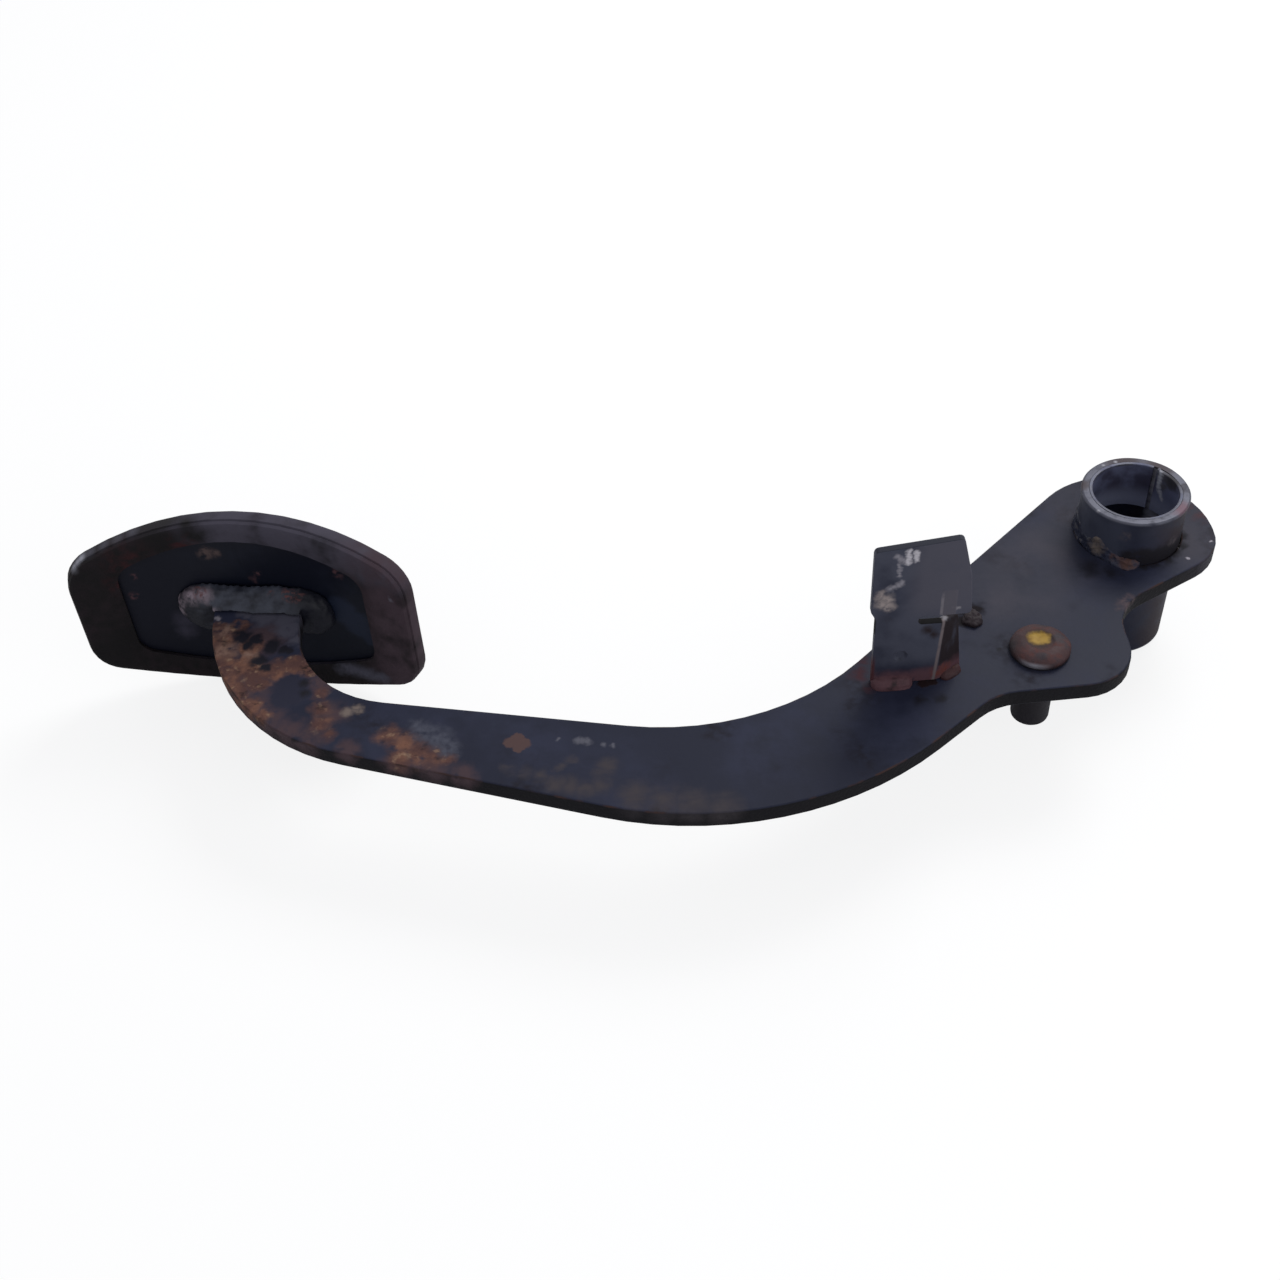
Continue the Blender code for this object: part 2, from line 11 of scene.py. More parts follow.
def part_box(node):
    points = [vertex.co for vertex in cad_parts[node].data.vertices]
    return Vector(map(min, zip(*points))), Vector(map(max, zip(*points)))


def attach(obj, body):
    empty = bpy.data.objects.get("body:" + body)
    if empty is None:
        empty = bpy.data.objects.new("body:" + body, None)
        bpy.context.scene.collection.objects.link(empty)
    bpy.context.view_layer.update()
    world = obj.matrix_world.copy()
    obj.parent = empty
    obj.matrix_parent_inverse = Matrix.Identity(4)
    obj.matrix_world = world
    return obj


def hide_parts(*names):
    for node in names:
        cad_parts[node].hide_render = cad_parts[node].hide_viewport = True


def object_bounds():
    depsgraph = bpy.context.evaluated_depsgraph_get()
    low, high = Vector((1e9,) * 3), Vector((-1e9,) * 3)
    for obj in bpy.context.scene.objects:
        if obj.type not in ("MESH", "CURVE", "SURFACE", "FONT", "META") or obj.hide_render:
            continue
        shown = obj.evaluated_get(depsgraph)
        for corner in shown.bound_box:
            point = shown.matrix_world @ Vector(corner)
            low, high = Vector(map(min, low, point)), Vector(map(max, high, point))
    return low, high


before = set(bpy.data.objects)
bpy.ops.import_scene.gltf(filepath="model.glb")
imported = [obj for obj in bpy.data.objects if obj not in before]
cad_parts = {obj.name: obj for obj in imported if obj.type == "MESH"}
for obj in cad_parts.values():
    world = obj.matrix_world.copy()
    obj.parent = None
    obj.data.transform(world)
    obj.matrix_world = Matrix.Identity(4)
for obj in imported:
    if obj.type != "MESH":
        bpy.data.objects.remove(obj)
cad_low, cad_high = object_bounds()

bl_info = {
    "name": "Worn Brake Pedal",
    "version": (1, 0, 0),
    "blender": (4, 5, 0),
    "location": "3D View > Sidebar > Pedal",
    "description": "Models the finished pieces of a used brake pedal around its solids",
    "category": "Object",
}

BODY = "root"
MM = 0.001
MERGE_DISTANCE = 0.000002

# Places that the solids give, in metres
ARM_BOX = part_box("pedal_arm")
ARM_TOP = ARM_BOX[1].z
TUBE_LOW, TUBE_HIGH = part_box("pivot_tube")
TUBE_R = TUBE_HIGH.x
BUSH_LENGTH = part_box("pivot_bush_upper")[1].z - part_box("pivot_bush_upper")[0].z
PIN_LOW, PIN_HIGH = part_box("pushrod_pin")
PIN_X = (PIN_LOW.x + PIN_HIGH.x) / 2
PIN_Y = (PIN_LOW.y + PIN_HIGH.y) / 2
PIN_HEAD_R = (PIN_HIGH.x - PIN_LOW.x) / 2
BRACKET_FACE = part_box("switch_bracket")[0].y
NECK_LEFT_EDGE = ARM_BOX[0].x
NECK_W = 0.0295

# The same in millimetres, for the marks on the surfaces
ARM_TOP_MM = ARM_TOP / MM
TUBE_END_MM = TUBE_HIGH.z / MM
TUBE_R_MM = TUBE_R / MM
FACE_MM = BRACKET_FACE / MM

# Axes of the frame, as along() and band() count them
X, Y, Z = 0, 1, 2

# How a mask goes from 0 to 1 in a Map Range node: eased in and out
EASED = {"interpolation_type": "SMOOTHSTEP"}

# The stage: a pale floor that glows a little for the camera, and two soft lamps with size and power
FLOOR_SIZE = 12.0
FLOOR_GAP = 0.0006
FLOOR_GLOW = 1.1
FLOOR_GLOW_SHARE = 0.75
FLOOR_GREY = (0.8, 0.8, 0.8, 1.0)
SKY_BLUE = (0.92, 0.94, 1.0, 1.0)
SKY_STRENGTH = 0.55
WHITE = (1.0, 1.0, 1.0, 1.0)
LAMPS = (("high_back_lamp", (0.42, 0.62, 0.95), 0.6, 8.0), ("front_lamp", (0.65, -0.85, 0.6), 0.8, 2.5))
SENSOR_WIDTH = 36.0
CLIP_START = 0.01

# How far the edges of fine marks wander, in millimetres
FINE = 0.6

# How finely the round pieces are turned
TUBE_STEPS = 160
BUSH_STEPS = 150
BUSH_ROWS = 14
PIN_STEPS = 128

# The tube's peened upper end: where its flare begins, how deep it is dressed, and its hammered waves
FLARE_START = 0.0030
RIM_DEPTH = 0.002
RIM_WAVE = 0.00008
RIM_RIPPLE = 0.00004

# The bushes: where the slit is, and how the upper one's torn edge leans round and down the bore
SLIT_AT = radians(42)
LIP_SHARE = 0.35
BUSH_CLEARANCE = 0.00004
UPPER_INSET = 0.0001
LOWER_INSET = 0.0004
CURL_SPREAD = 0.42
CURL_DEPTH = 0.0095

# The pin: the gap under its head, the head's upright rim, the share of its height that is domed, and the
# rounding of its free end as shares of the shank's radius with heights in millimetres
HEAD_GAP = 0.0001
HEAD_RIM = 0.0006
DOME_SHARE = 0.68
PIN_END = ((1.0, 1.8), (0.97, 1.0), (0.88, 0.4), (0.74, 0.1), (0.6, 0.0), (0.0, 0.0))

# The tube weld's lumps round the tube: angle and width in degrees, share of growth, and bluntness
LUMPS_OUT = ((256, 14, 1.1, 2), (152, 20, 0.34, 2), (219, 10, 0.22, 2))
LUMPS_UP = ((160, 34, 0.5, 4), (219, 13, 0.58, 2))
TUBE_BEAD_SINK = 0.0003
SHEET_BEAD_SINK = 0.0004

# The pad weld: what is tucked in beside the neck, and the toe on its upper face
TUCK_HEIGHT = 0.0042
TUCK_REACH = 0.0012
TOE_LENGTH = 0.0030
TOE_HEIGHT = 0.0005

# The drop of weld metal behind the bracket: where it lies, how it is flattened and how far it is sunk
SPATTER_PLACE = (-0.0583, -0.0360)
SPATTER_SHAPE = (0.85, 1.0, 0.7)
SPATTER_SINK = 0.0002

# Steps between the places in the noise that seeds stand for
SEED_STEPS = (3.1, 1.7, 2.3)


def linear(code):
    """An sRGB hex colour as the linear RGBA that Blender's sockets take."""
    shares = [int(code[i:i + 2], 16) / 255 for i in (0, 2, 4)]
    return [s / 12.92 if s <= 0.04045 else ((s + 0.055) / 1.055) ** 2.4 for s in shares] + [1.0]


def length(name, description, default):
    """A size in metres that the sidebar shows."""
    return FloatProperty(name=name, description=description, default=default, min=0.0, precision=5,
                         unit="LENGTH")


def colour(name, description, code):
    """A colour that the sidebar shows."""
    return FloatVectorProperty(name=name, description=description, default=linear(code), size=4,
                               min=0.0, max=1.0, subtype="COLOR")


class PedalSizes(PropertyGroup):
    """Sizes of what the solids leave plain."""

    arm_edge: length("Arm edge", "Rounding that wear has given the blanked arm's arrises", 0.0004)
    tube_flare: length("Tube flare", "How far the tube's upper end is peened outwards", 0.0005)
    tube_wall: length("Tube wall", "Wall of the pivot tube", 0.0021)
    tube_edge: length("Tube edge", "Rounding of the tube's ends, turned and then worn", 0.0005)
    bush_wall: length("Bush wall", "Wall of the rolled bushes", 0.001)
    bush_slit: length("Bush slit", "Gap that the rolled bush leaves open", 0.0016)
    bush_curl: length("Bush curl", "How far the torn edge of the upper bush leans into the bore", 0.0005)
    pin_shank: length("Pin shank", "Radius of the pushrod pin's shank", 0.006)
    pin_dish: length("Pin dish", "Radius of the shallow dish in the pin's head", 0.0043)
    pin_dish_depth: length("Pin dish depth", "Depth of that dish", 0.0004)
    sheet_edge: length("Sheet edge", "Rounding of the bracket's blanked edges", 0.0003)
    rubber_edge: length("Rubber edge", "Rounding of the cover's tread bars", 0.0005)
    weld_voxel: length("Weld grain", "Size of the cells that the beads are modelled in", 0.0003)
    weld_lump: length("Weld lump", "Height of the ripples in the weld beads", 0.0006)
    spatter: length("Spatter", "Radius of the lump of weld spatter behind the bracket", 0.0036)


class PedalColours(PropertyGroup):
    """Colours of the finishes, as they show in plain light."""

    paint: colour("Paint", "Dark blue-black stoving paint", "1c1f2f")
    paint_faded: colour("Faded paint", "The same paint where it is chalked", "292c3e")
    # Darker colour of the upright cut faces, which stands in for painted shade
    shaded_edge_paint: colour("Cut edge", "Paint and grime on the sheared edges", "100f13")
    grime: colour("Grime", "Old grease and dust", "191720")
    rust_dark: colour("Dark rust", "Rust that has gone brown-black", "1f1719")
    rust_brown: colour("Brown rust", "The common red-brown rust", "523a37")
    rust_orange: colour("Orange rust", "Powdery rust", "755345")
    rust_tan: colour("Tan rust", "The palest crust of the rust", "8e725d")
    bare: colour("Bare steel", "Steel rubbed bright", "4b4c57")
    scuff: colour("Scuff", "Pale scratches through the paint", "bab6bc")
    bush: colour("Bush", "Greasy lined bush", "5a5e76")
    pin: colour("Pin", "Browned steel of the pin", "3a2628")
    yellow: colour("Yellow mark", "Inspection paint", "9a7a2c")
    plate: colour("Pad plate", "Navy paint of the pad plate", "0b0e1a")
    plate_worn: colour("Worn plate", "Pad plate where the paint is thin", "1b2131")
    rubber: colour("Rubber", "Black moulded rubber", "0d0b0d")
    rubber_dust: colour("Rubber dust", "Brown dust in the rubber's skin", "211a1e")


def add_node(tree, kind, settings=None, inputs=None):
    """Add a shader node: settings set its properties, and inputs take values or are linked to sockets."""
    made = tree.nodes.new("ShaderNode" + kind)
    for name, value in (settings or {}).items():
        setattr(made, name, value)
    for key, value in (inputs or {}).items():
        if isinstance(value, bpy.types.NodeSocket):
            tree.links.new(value, made.inputs[key])
        else:
            made.inputs[key].default_value = value
    return made


class Skin:
    """A material in the making, on Object coordinates, which are the part's own frame.

    Its finish is what has been laid so far: colour, roughness, metallic share and height in millimetres.
    A colour is an sRGB hex code or a linear one. Masks run from 0 to 1, and all lengths are in millimetres.
    """

    def __init__(self, name, wander=0.0):
        """Start an empty node material. Wander is how far the edges of its marks are shaken."""
        self.material = bpy.data.materials.new(name)
        self.material.use_nodes = True
        self.tree = self.material.node_tree
        self.tree.nodes.clear()
        self.coords = add_node(self.tree, "TexCoord").outputs["Object"]
        self.shaken = {0.0: self.coords}
        self.wander = wander
        self.finish = None

    def blend(self, under, over, mask):
        """One finish over another through a mask. What both share is passed on, so the shader stays small."""
        below, above = [linear(base) if isinstance(base, str) else base for base in (under[0], over[0])]
        mixed = [add_node(self.tree, "Mix", {"data_type": "RGBA"}, {0: mask, 6: below, 7: above}).outputs[2]]
        for below, above in zip(under[1:], over[1:]):
            if below != above:
                below = add_node(self.tree, "Mix", {}, {0: mask, 2: below, 3: above}).outputs[0]
            mixed.append(below)
        return mixed

    def lay(self, base, rough, metallic, height, *masks):
        """Lay a finish over what is there, where every mask is."""
        self.finish = self.blend(self.finish, [base, rough, metallic, height], self.both(*masks))

    def stain(self, base, rough, *masks):
        """Tint what is there, where every mask is, without a change of its height."""
        self.lay(base, rough, self.finish[2], self.finish[3], *masks)

    def close(self, specular):
        """End the material in its shader and hand it over."""
        base, rough, metallic, height = self.finish
        bump = add_node(self.tree, "Bump", {}, {"Strength": 1.0, "Distance": MM, "Height": height})
        shader = add_node(self.tree, "BsdfPrincipled", {}, {
            "Base Color": base, "Roughness": rough, "Metallic": metallic,
            "Specular IOR Level": specular, "Normal": bump.outputs[0]})
        add_node(self.tree, "OutputMaterial", {}, {"Surface": shader.outputs[0]})
        return self.material

    def folded(self, operation, masks):
        """Join masks one after another by a maths operation."""
        total = masks[0]
        for mask in masks[1:]:
            total = add_node(self.tree, "Math", {"operation": operation}, {0: total, 1: mask}).outputs[0]
        return total

    def both(self, *masks):
        """Where every mask is."""
        return self.folded("MULTIPLY", masks)

    def either(self, *masks):
        """Where any mask is."""
        return self.folded("MAXIMUM", masks)

    def mottle(self, size, low, high, detail=4.0, stretch=None, top=1.0):
        """Blotches about a size across: 0 where the noise is under low, top where it is over high."""
        coords = self.coords
        if stretch:
            coords = add_node(self.tree, "Mapping", {}, {0: coords, 3: stretch}).outputs[0]
        cloud = add_node(self.tree, "TexNoise", {}, {
            "Vector": coords, "Scale": 1 / (size * MM), "Detail": detail})
        return add_node(self.tree, "MapRange", EASED,
                        {0: cloud.outputs[0], 1: low, 2: high, 4: top}).outputs[0]

    def ragged(self, amount):
        """Coordinates shaken by a noise, so that a mask's edge wanders by an amount."""
        if amount not in self.shaken:
            cloud = add_node(self.tree, "TexNoise", {}, {
                "Vector": self.coords, "Scale": 0.35 / (amount * MM), "Detail": 5.0})
            centred = add_node(self.tree, "VectorMath", {"operation": "SUBTRACT"},
                               {0: cloud.outputs[1], 1: (0.5, 0.5, 0.5)})
            shift = add_node(self.tree, "VectorMath", {"operation": "SCALE"},
                             {0: centred.outputs[0], "Scale": amount * 4 * MM})
            self.shaken[amount] = add_node(self.tree, "VectorMath", {"operation": "ADD"},
                                           {0: self.coords, 1: shift.outputs[0]}).outputs[0]
        return self.shaken[amount]

    def patches(self, places, soft, wander=None):
        """Mask of the balls around places, each an x, y, z and radius, faded over their soft share.

        Their edges wander as the skin's marks do, unless another amount is given.
        """
        coords = self.ragged(self.wander if wander is None else wander)
        spot = add_node(self.tree, "VectorMath", {"operation": "ADD"}, {0: coords}).outputs[0]
        balls = []
        for x, y, z, radius in places:
            far = add_node(self.tree, "VectorMath", {"operation": "DISTANCE"},
                           {0: spot, 1: (x * MM, y * MM, z * MM)}).outputs[1]
            balls.append(add_node(self.tree, "MapRange", EASED, {
                0: far, 1: radius * MM, 2: radius * MM * (1 - soft)}).outputs[0])
        return self.either(*balls)

    def along(self, axis, start, end, coords=None):
        """Mask that rises from 0 to 1 as the place on an axis goes from start to end."""
        parts = add_node(self.tree, "SeparateXYZ", {}, {0: coords or self.coords})
        return add_node(self.tree, "MapRange", EASED,
                        {0: parts.outputs[axis], 1: start * MM, 2: end * MM}).outputs[0]

    def band(self, axis, low, high, soft, coords=None):
        """Mask of the slice between low and high on an axis, faded over a soft distance outside it."""
        return self.both(self.along(axis, low - soft, low, coords),
                         self.along(axis, high + soft, high, coords))

    def lean(self):
        """The height of the surface's normal: 1 where it looks up, -1 where it looks down."""
        normal = add_node(self.tree, "NewGeometry").outputs["Normal"]
        return add_node(self.tree, "SeparateXYZ", {}, {0: normal}).outputs[Z]

    def level(self):
        """How level the surface lies: 1 on top and underneath, 0 on upright faces."""
        return add_node(self.tree, "Math", {"operation": "ABSOLUTE"}, {0: self.lean()}).outputs[0]

    def upright(self):
        """Mask of the faces that stand upright."""
        return add_node(self.tree, "MapRange", EASED, {0: self.level(), 1: 0.85, 2: 0.35}).outputs[0]

    def facing_up(self, start, end):
        """Mask of the surface that looks up, as where dust settles."""
        return add_node(self.tree, "MapRange", EASED, {0: self.lean(), 1: start, 2: end}).outputs[0]

    def rubbed_edge(self):
        """Mask of the rounded edges between upright and level faces."""
        level = self.level()
        off_upright = add_node(self.tree, "MapRange", EASED, {0: level, 1: 0.15, 2: 0.5}).outputs[0]
        off_level = add_node(self.tree, "MapRange", EASED, {0: level, 1: 0.99, 2: 0.88}).outputs[0]
        return self.both(off_upright, off_level)


def flat(places):
    """Marks on the arm's upper face: x, y and radius in millimetres, with the face's height put in."""
    return [(x, y, ARM_TOP_MM, radius) for x, y, radius in places]


def on_face(places):
    """Marks on the bracket's face: x, z and radius in millimetres, with the face's place put in."""
    return [(x, FACE_MM, z, radius) for x, z, radius in places]


def on_tube_end(places):
    """Marks on the tube's upper end: x, y and radius in millimetres, with the end's height put in."""
    return [(x, y, TUBE_END_MM, radius) for x, y, radius in places]


def round_tube(turns, share, height, radius):
    """Marks round the tube at turns in degrees: share is of its radius, height is above the arm."""
    reach = TUBE_R_MM * share
    height += ARM_TOP_MM
    return [(reach * cos(radians(turn)), reach * sin(radians(turn)), height, radius) for turn in turns]


def trail(start, end, count, radius):
    """Marks along a straight line from start to end."""
    steps = [step / (count - 1) for step in range(count)]
    return [(*(a + (b - a) * step for a, b in zip(start, end)), radius) for step in steps]


def stoving_paint(skin, colours):
    """Stoving paint on plate: chalked in clouds, with a fine orange peel and specks of dirt in it.

    Real orange peel is about half a millimetre across. It is drawn at 1.6 mm, so that it shows.
    """
    peel = skin.mottle(1.6, 0.3, 0.7, 2.0, top=0.012)
    skin.finish = [colours.paint, 0.5, 0.0, peel]
    chalked = skin.mottle(32, 0.36, 0.66, 5.0)
    skin.lay(colours.paint_faded, 0.6, 0.0, peel, chalked, skin.mottle(6, 0.15, 0.7))
    dirty = skin.mottle(19, 0.5, 0.72, 6.0)
    skin.lay(colours.grime, 0.7, 0.0, 0.004, dirty, skin.mottle(2.8, 0.3, 0.66, 5.0))


def rust_finish(skin, colours):
    """Rust on steel: brown, with powder in softer blotches and darker scabs about 4 mm across.

    Its grit is finer than a tenth of a millimetre. It is drawn at 1.2 mm, so that it shows.
    """
    grit = skin.mottle(1.2, 0.25, 0.75, 6.0, top=0.11)
    finish = [colours.rust_brown, 0.88, 0.0, grit]
    finish = skin.blend(finish, [colours.rust_orange, 0.95, 0.0, grit], skin.mottle(5.8, 0.42, 0.7, 7.0))
    finish = skin.blend(finish, [colours.rust_tan, 0.95, 0.0, grit], skin.mottle(3.1, 0.54, 0.74, 5.0))
    scabs = skin.mottle(4.2, 0.53, 0.76, 6.0, (1.0, 1.3, 0.7))
    return skin.blend(finish, [colours.rust_dark, 0.8, 0.0, grit], scabs)


def arm_rust(skin):
    """Where the arm has rusted: the neck in one field, then a band and a scab farther along the shank."""
    neck = skin.patches(flat([
        (-303.0, -12.5, 4.2), (-300.5, -20.0, 6.4), (-299.2, -28.5, 7.0), (-296.2, -37.0, 6.6),
        (-292.5, -44.0, 6.0), (-288.0, -50.5, 5.4), (-283.0, -55.2, 4.0), (-286.0, -38.0, 7.0),
        (-280.0, -35.2, 6.2), (-290.5, -32.0, 7.0), (-290.0, -23.5, 6.0), (-270.5, -20.0, 4.6),
        (-269.0, -28.5, 5.4), (-268.8, -35.2, 5.2), (-274.2, -33.5, 5.6), (-295.5, -14.0, 4.8)]), 0.5)
    scabs = skin.patches(flat([
        (-265.2, -47.0, 4.2), (-264.8, -53.5, 5.2), (-264.0, -60.0, 5.4), (-261.8, -65.2, 3.8),
        (-242.5, -67.2, 6.2), (-238.2, -71.2, 7.6), (-233.5, -75.0, 7.4), (-229.0, -77.0, 6.6),
        (-225.0, -78.5, 4.0), (-239.2, -77.0, 5.6)]), 0.9)
    broken = skin.mottle(4.5, 0.22, 0.44, 6.0)
    return skin.either(neck, scabs), broken


def arm_film(skin):
    """A thin pinkish-brown film: round the neck's skin of paint and along the shank's lower arris."""
    field = skin.patches(flat([
        (-288.0, -40.0, 13.0), (-287.0, -50.0, 10.0), (-281.5, -57.0, 9.0), (-275.0, -62.5, 9.0),
        (-269.0, -67.0, 8.5), (-265.5, -43.0, 6.5), (-261.5, -56.0, 8.0), (-255.0, -72.0, 6.0),
        (-240.0, -79.0, 8.0), (-229.0, -83.0, 7.5), (-220.0, -85.5, 7.0), (-286.0, -20.0, 12.0)]), 0.8)
    return field, skin.mottle(4, 0.2, 0.5, 6.0)


def arm_streaks(skin):
    """Faint smears of dirt that the foot's dust has left along the shank."""
    streaks = trail((-206.0, -84.5), (-196.0, -88.0), 3, 4.0)
    streaks += trail((-192.0, -91.5), (-183.0, -94.5), 3, 5.5)
    streaks += trail((-190.5, -85.0), (-187.5, -82.5), 2, 2.8)
    streaks += trail((-176.0, -85.5), (-178.5, -93.5), 3, 5.2)
    streaks += trail((-169.0, -98.5), (-144.0, -105.0), 4, 8.5)
    return skin.patches(flat(streaks), 1.0), skin.mottle(8.5, 0.3, 0.6, 7.0, (0.6, 1.2, 1.0))


def neck_marks(skin):
    """What lies over the neck's rust: islands and a blister of paint, a painted grey sheen, a pale crust, a
    scorch.
    """
    islands = skin.patches(flat([
        (-293.0, -18.0, 4.6), (-290.5, -22.5, 3.0), (-286.2, -30.0, 4.0), (-284.0, -34.0, 2.6),
        (-282.5, -24.0, 4.6), (-288.5, -20.5, 3.0), (-278.0, -26.2, 3.0)]), 0.6)
    skin.lay("16151e", 0.5, 0.0, 0.06, islands)
    # Painted sheen: pale blue-grey patches on the neck's top, beside the pad weld
    neck_sheen = skin.patches(flat([
        (-286.6, -8.8, 7.2), (-279.6, -11.5, 7.4), (-278.5, -16.5, 5.6), (-292.5, -7.0, 4.0),
        (-275.0, -21.5, 4.0)]), 0.7)
    skin.lay("4c4b57", 0.55, 0.1, 0.03, neck_sheen, skin.mottle(3, 0.1, 0.45, 6.0))
    crust = skin.patches(flat([(-298.0, -24.0, 6.2), (-300.0, -15.0, 5.0), (-290.0, -27.5, 4.0)]), 1.0)
    skin.stain("84695d", 0.9, crust, skin.mottle(2.8, 0.3, 0.6, 6.0))
    blister = flat([(-275.8, -42.8, 5.8), (-274.0, -46.8, 5.4), (-277.2, -48.0, 4.6)])
    skin.lay("232433", 0.5, 0.0, 0.08, skin.patches(blister, 0.35, FINE))
    scorch = skin.patches(flat([(-270.8, -42.0, 3.0), (-270.2, -46.2, 3.0)]), 0.9, FINE)
    skin.stain("14131b", 0.5, scorch)


def shank_marks(skin):
    """A pale bloom beside the scab on the shank, and three small specks farther along."""
    bloom = skin.patches(flat([
        (-231.2, -67.2, 6.2), (-226.8, -70.2, 6.6), (-224.0, -74.5, 5.6), (-234.5, -64.0, 4.0)]), 0.9)
    skin.lay("474955", 0.6, 0.1, 0.03, bloom, skin.mottle(3, 0.22, 0.6, 6.0))
    specks = [(-190.9, -73.9, 1.1)]
    specks += trail((-184.8, -75.0), (-182.0, -75.7), 3, 2.1)
    specks += trail((-177.2, -77.4), (-174.5, -78.1), 2, 1.4)
    skin.stain("54545e", 0.55, skin.patches(flat(specks), 0.9, FINE))


def head_marks(skin):
    """A painted sheen and a red bloom on the head, painted shade at the tube's foot and round the spatter,
    and stains by the pin and the bracket.
    """
    # Painted sheen: pale patches across the head where light glances off the paint
    dust = flat([(-30.6, -10.8, 30), (-12.6, 13.2, 20), (-44.6, -28.8, 24), (19.4, -8.8, 20)])
    skin.stain("3b3943", 0.6, skin.patches(dust, 1.0), skin.mottle(12, 0.2, 0.75))
    red_lobe = skin.patches(flat([(26.0, 7.0, 8.0)]), 1.0)
    skin.stain("4a3236", 0.7, red_lobe, skin.mottle(3, 0.35, 0.65))
    # Painted shade on the arm at the tube's front, and dark stains left of the pin, by the bracket's foot and
    # beside the tube
    shade = skin.patches(flat([
        (-16.5, -16.5, 6.5), (-10.5, -19.5, 4.5), (-52.4, -50.4, 1.9),
        (-80.8, -68.9, 3.5), (-74.8, -69.1, 3.0), (14.6, -10.6, 0.8)]), 0.9)
    skin.stain("11111b", 0.6, shade)
    # Painted shadow on the arm under the bracket's head, round the spatter
    recess_shadow = skin.patches(flat([(-62.4, -36.5, 4.2), (-60.0, -31.5, 4.4), (-56.0, -31.2, 3.8)]), 0.7)
    skin.stain("120d12", 0.8, recess_shadow)
    foot = skin.patches(flat([(-78.5, -62.2, 2.4), (-75.8, -61.8, 2.0)]), 0.4, FINE)
    skin.lay("190d10", 0.8, 0.0, 0.1, foot)
    # Painted shade on the arm in the unwelded gap at the tube's right front
    skin.stain("14131a", 0.7, skin.patches(round_tube(range(272, 356, 14), 1.02, 0.0, 3.6), 0.8))
    bled = skin.patches(flat([(-97.5, -56.0, 5.0), (-96.0, -50.0, 4.0), (-95.5, -62.0, 3.4)]), 1.0)
    skin.stain("40262c", 0.8, bled, skin.mottle(3, 0.25, 0.6))
    notch = skin.patches(flat([(-10.0, -34.5, 4.0), (-7.8, -32.0, 3.4)]), 1.0)
    skin.stain("54474a", 0.7, notch, skin.mottle(2, 0.25, 0.6))


def arm_material(colours):
    """Painted plate, blanked and welded: rust at the neck, scabs along the shank, nicks on the head.

    Upright sheared faces carry painted shade and are rougher than the rolled faces, and their arrises show
    rust in places.
    """
    skin = Skin("stoved_arm_paint", 1.6)
    stoving_paint(skin, colours)
    rust = rust_finish(skin, colours)
    # Painted shade: the upright faces are laid in the darker edge colour
    skin.lay(colours.shaded_edge_paint, 0.7, 0.0, rust[3], skin.upright())
    skin.stain("3e393d", 0.7, *arm_streaks(skin))
    skin.stain("45373c", 0.75, *arm_film(skin))
    skin.lay(*rust, *arm_rust(skin))
    diamond = trail((-205.2, -73.8), (-201.2, -74.5), 3, 2.6)
    diamond += trail((-203.2, -72.2), (-203.0, -76.2), 2, 2.4)
    skin.stain("52403f", 0.8, skin.patches(flat(diamond), 0.35, FINE))
    tan_spot = skin.patches(flat(trail((-256.2, -56.0), (-253.0, -55.2), 2, 3.0)), 0.8, FINE)
    skin.stain("70645e", 0.8, tan_spot, skin.mottle(3, 0.15, 0.5))

    neck_marks(skin)
    shank_marks(skin)
    head_marks(skin)
    skin.stain("3a2a28", 0.7, skin.rubbed_edge(), skin.mottle(7, 0.48, 0.66, 6.0))
    nicks = [(27.4, -8.1, 2.3, 1.4)] + flat([(15.4, -15.3, 0.8), (24.9, -8.1, 0.9), (-302.4, -8.6, 1.7)])
    skin.lay("8f8a93", 0.4, 0.2, 0.0, skin.patches(nicks, 0.9, FINE))
    return skin.close(0.13)


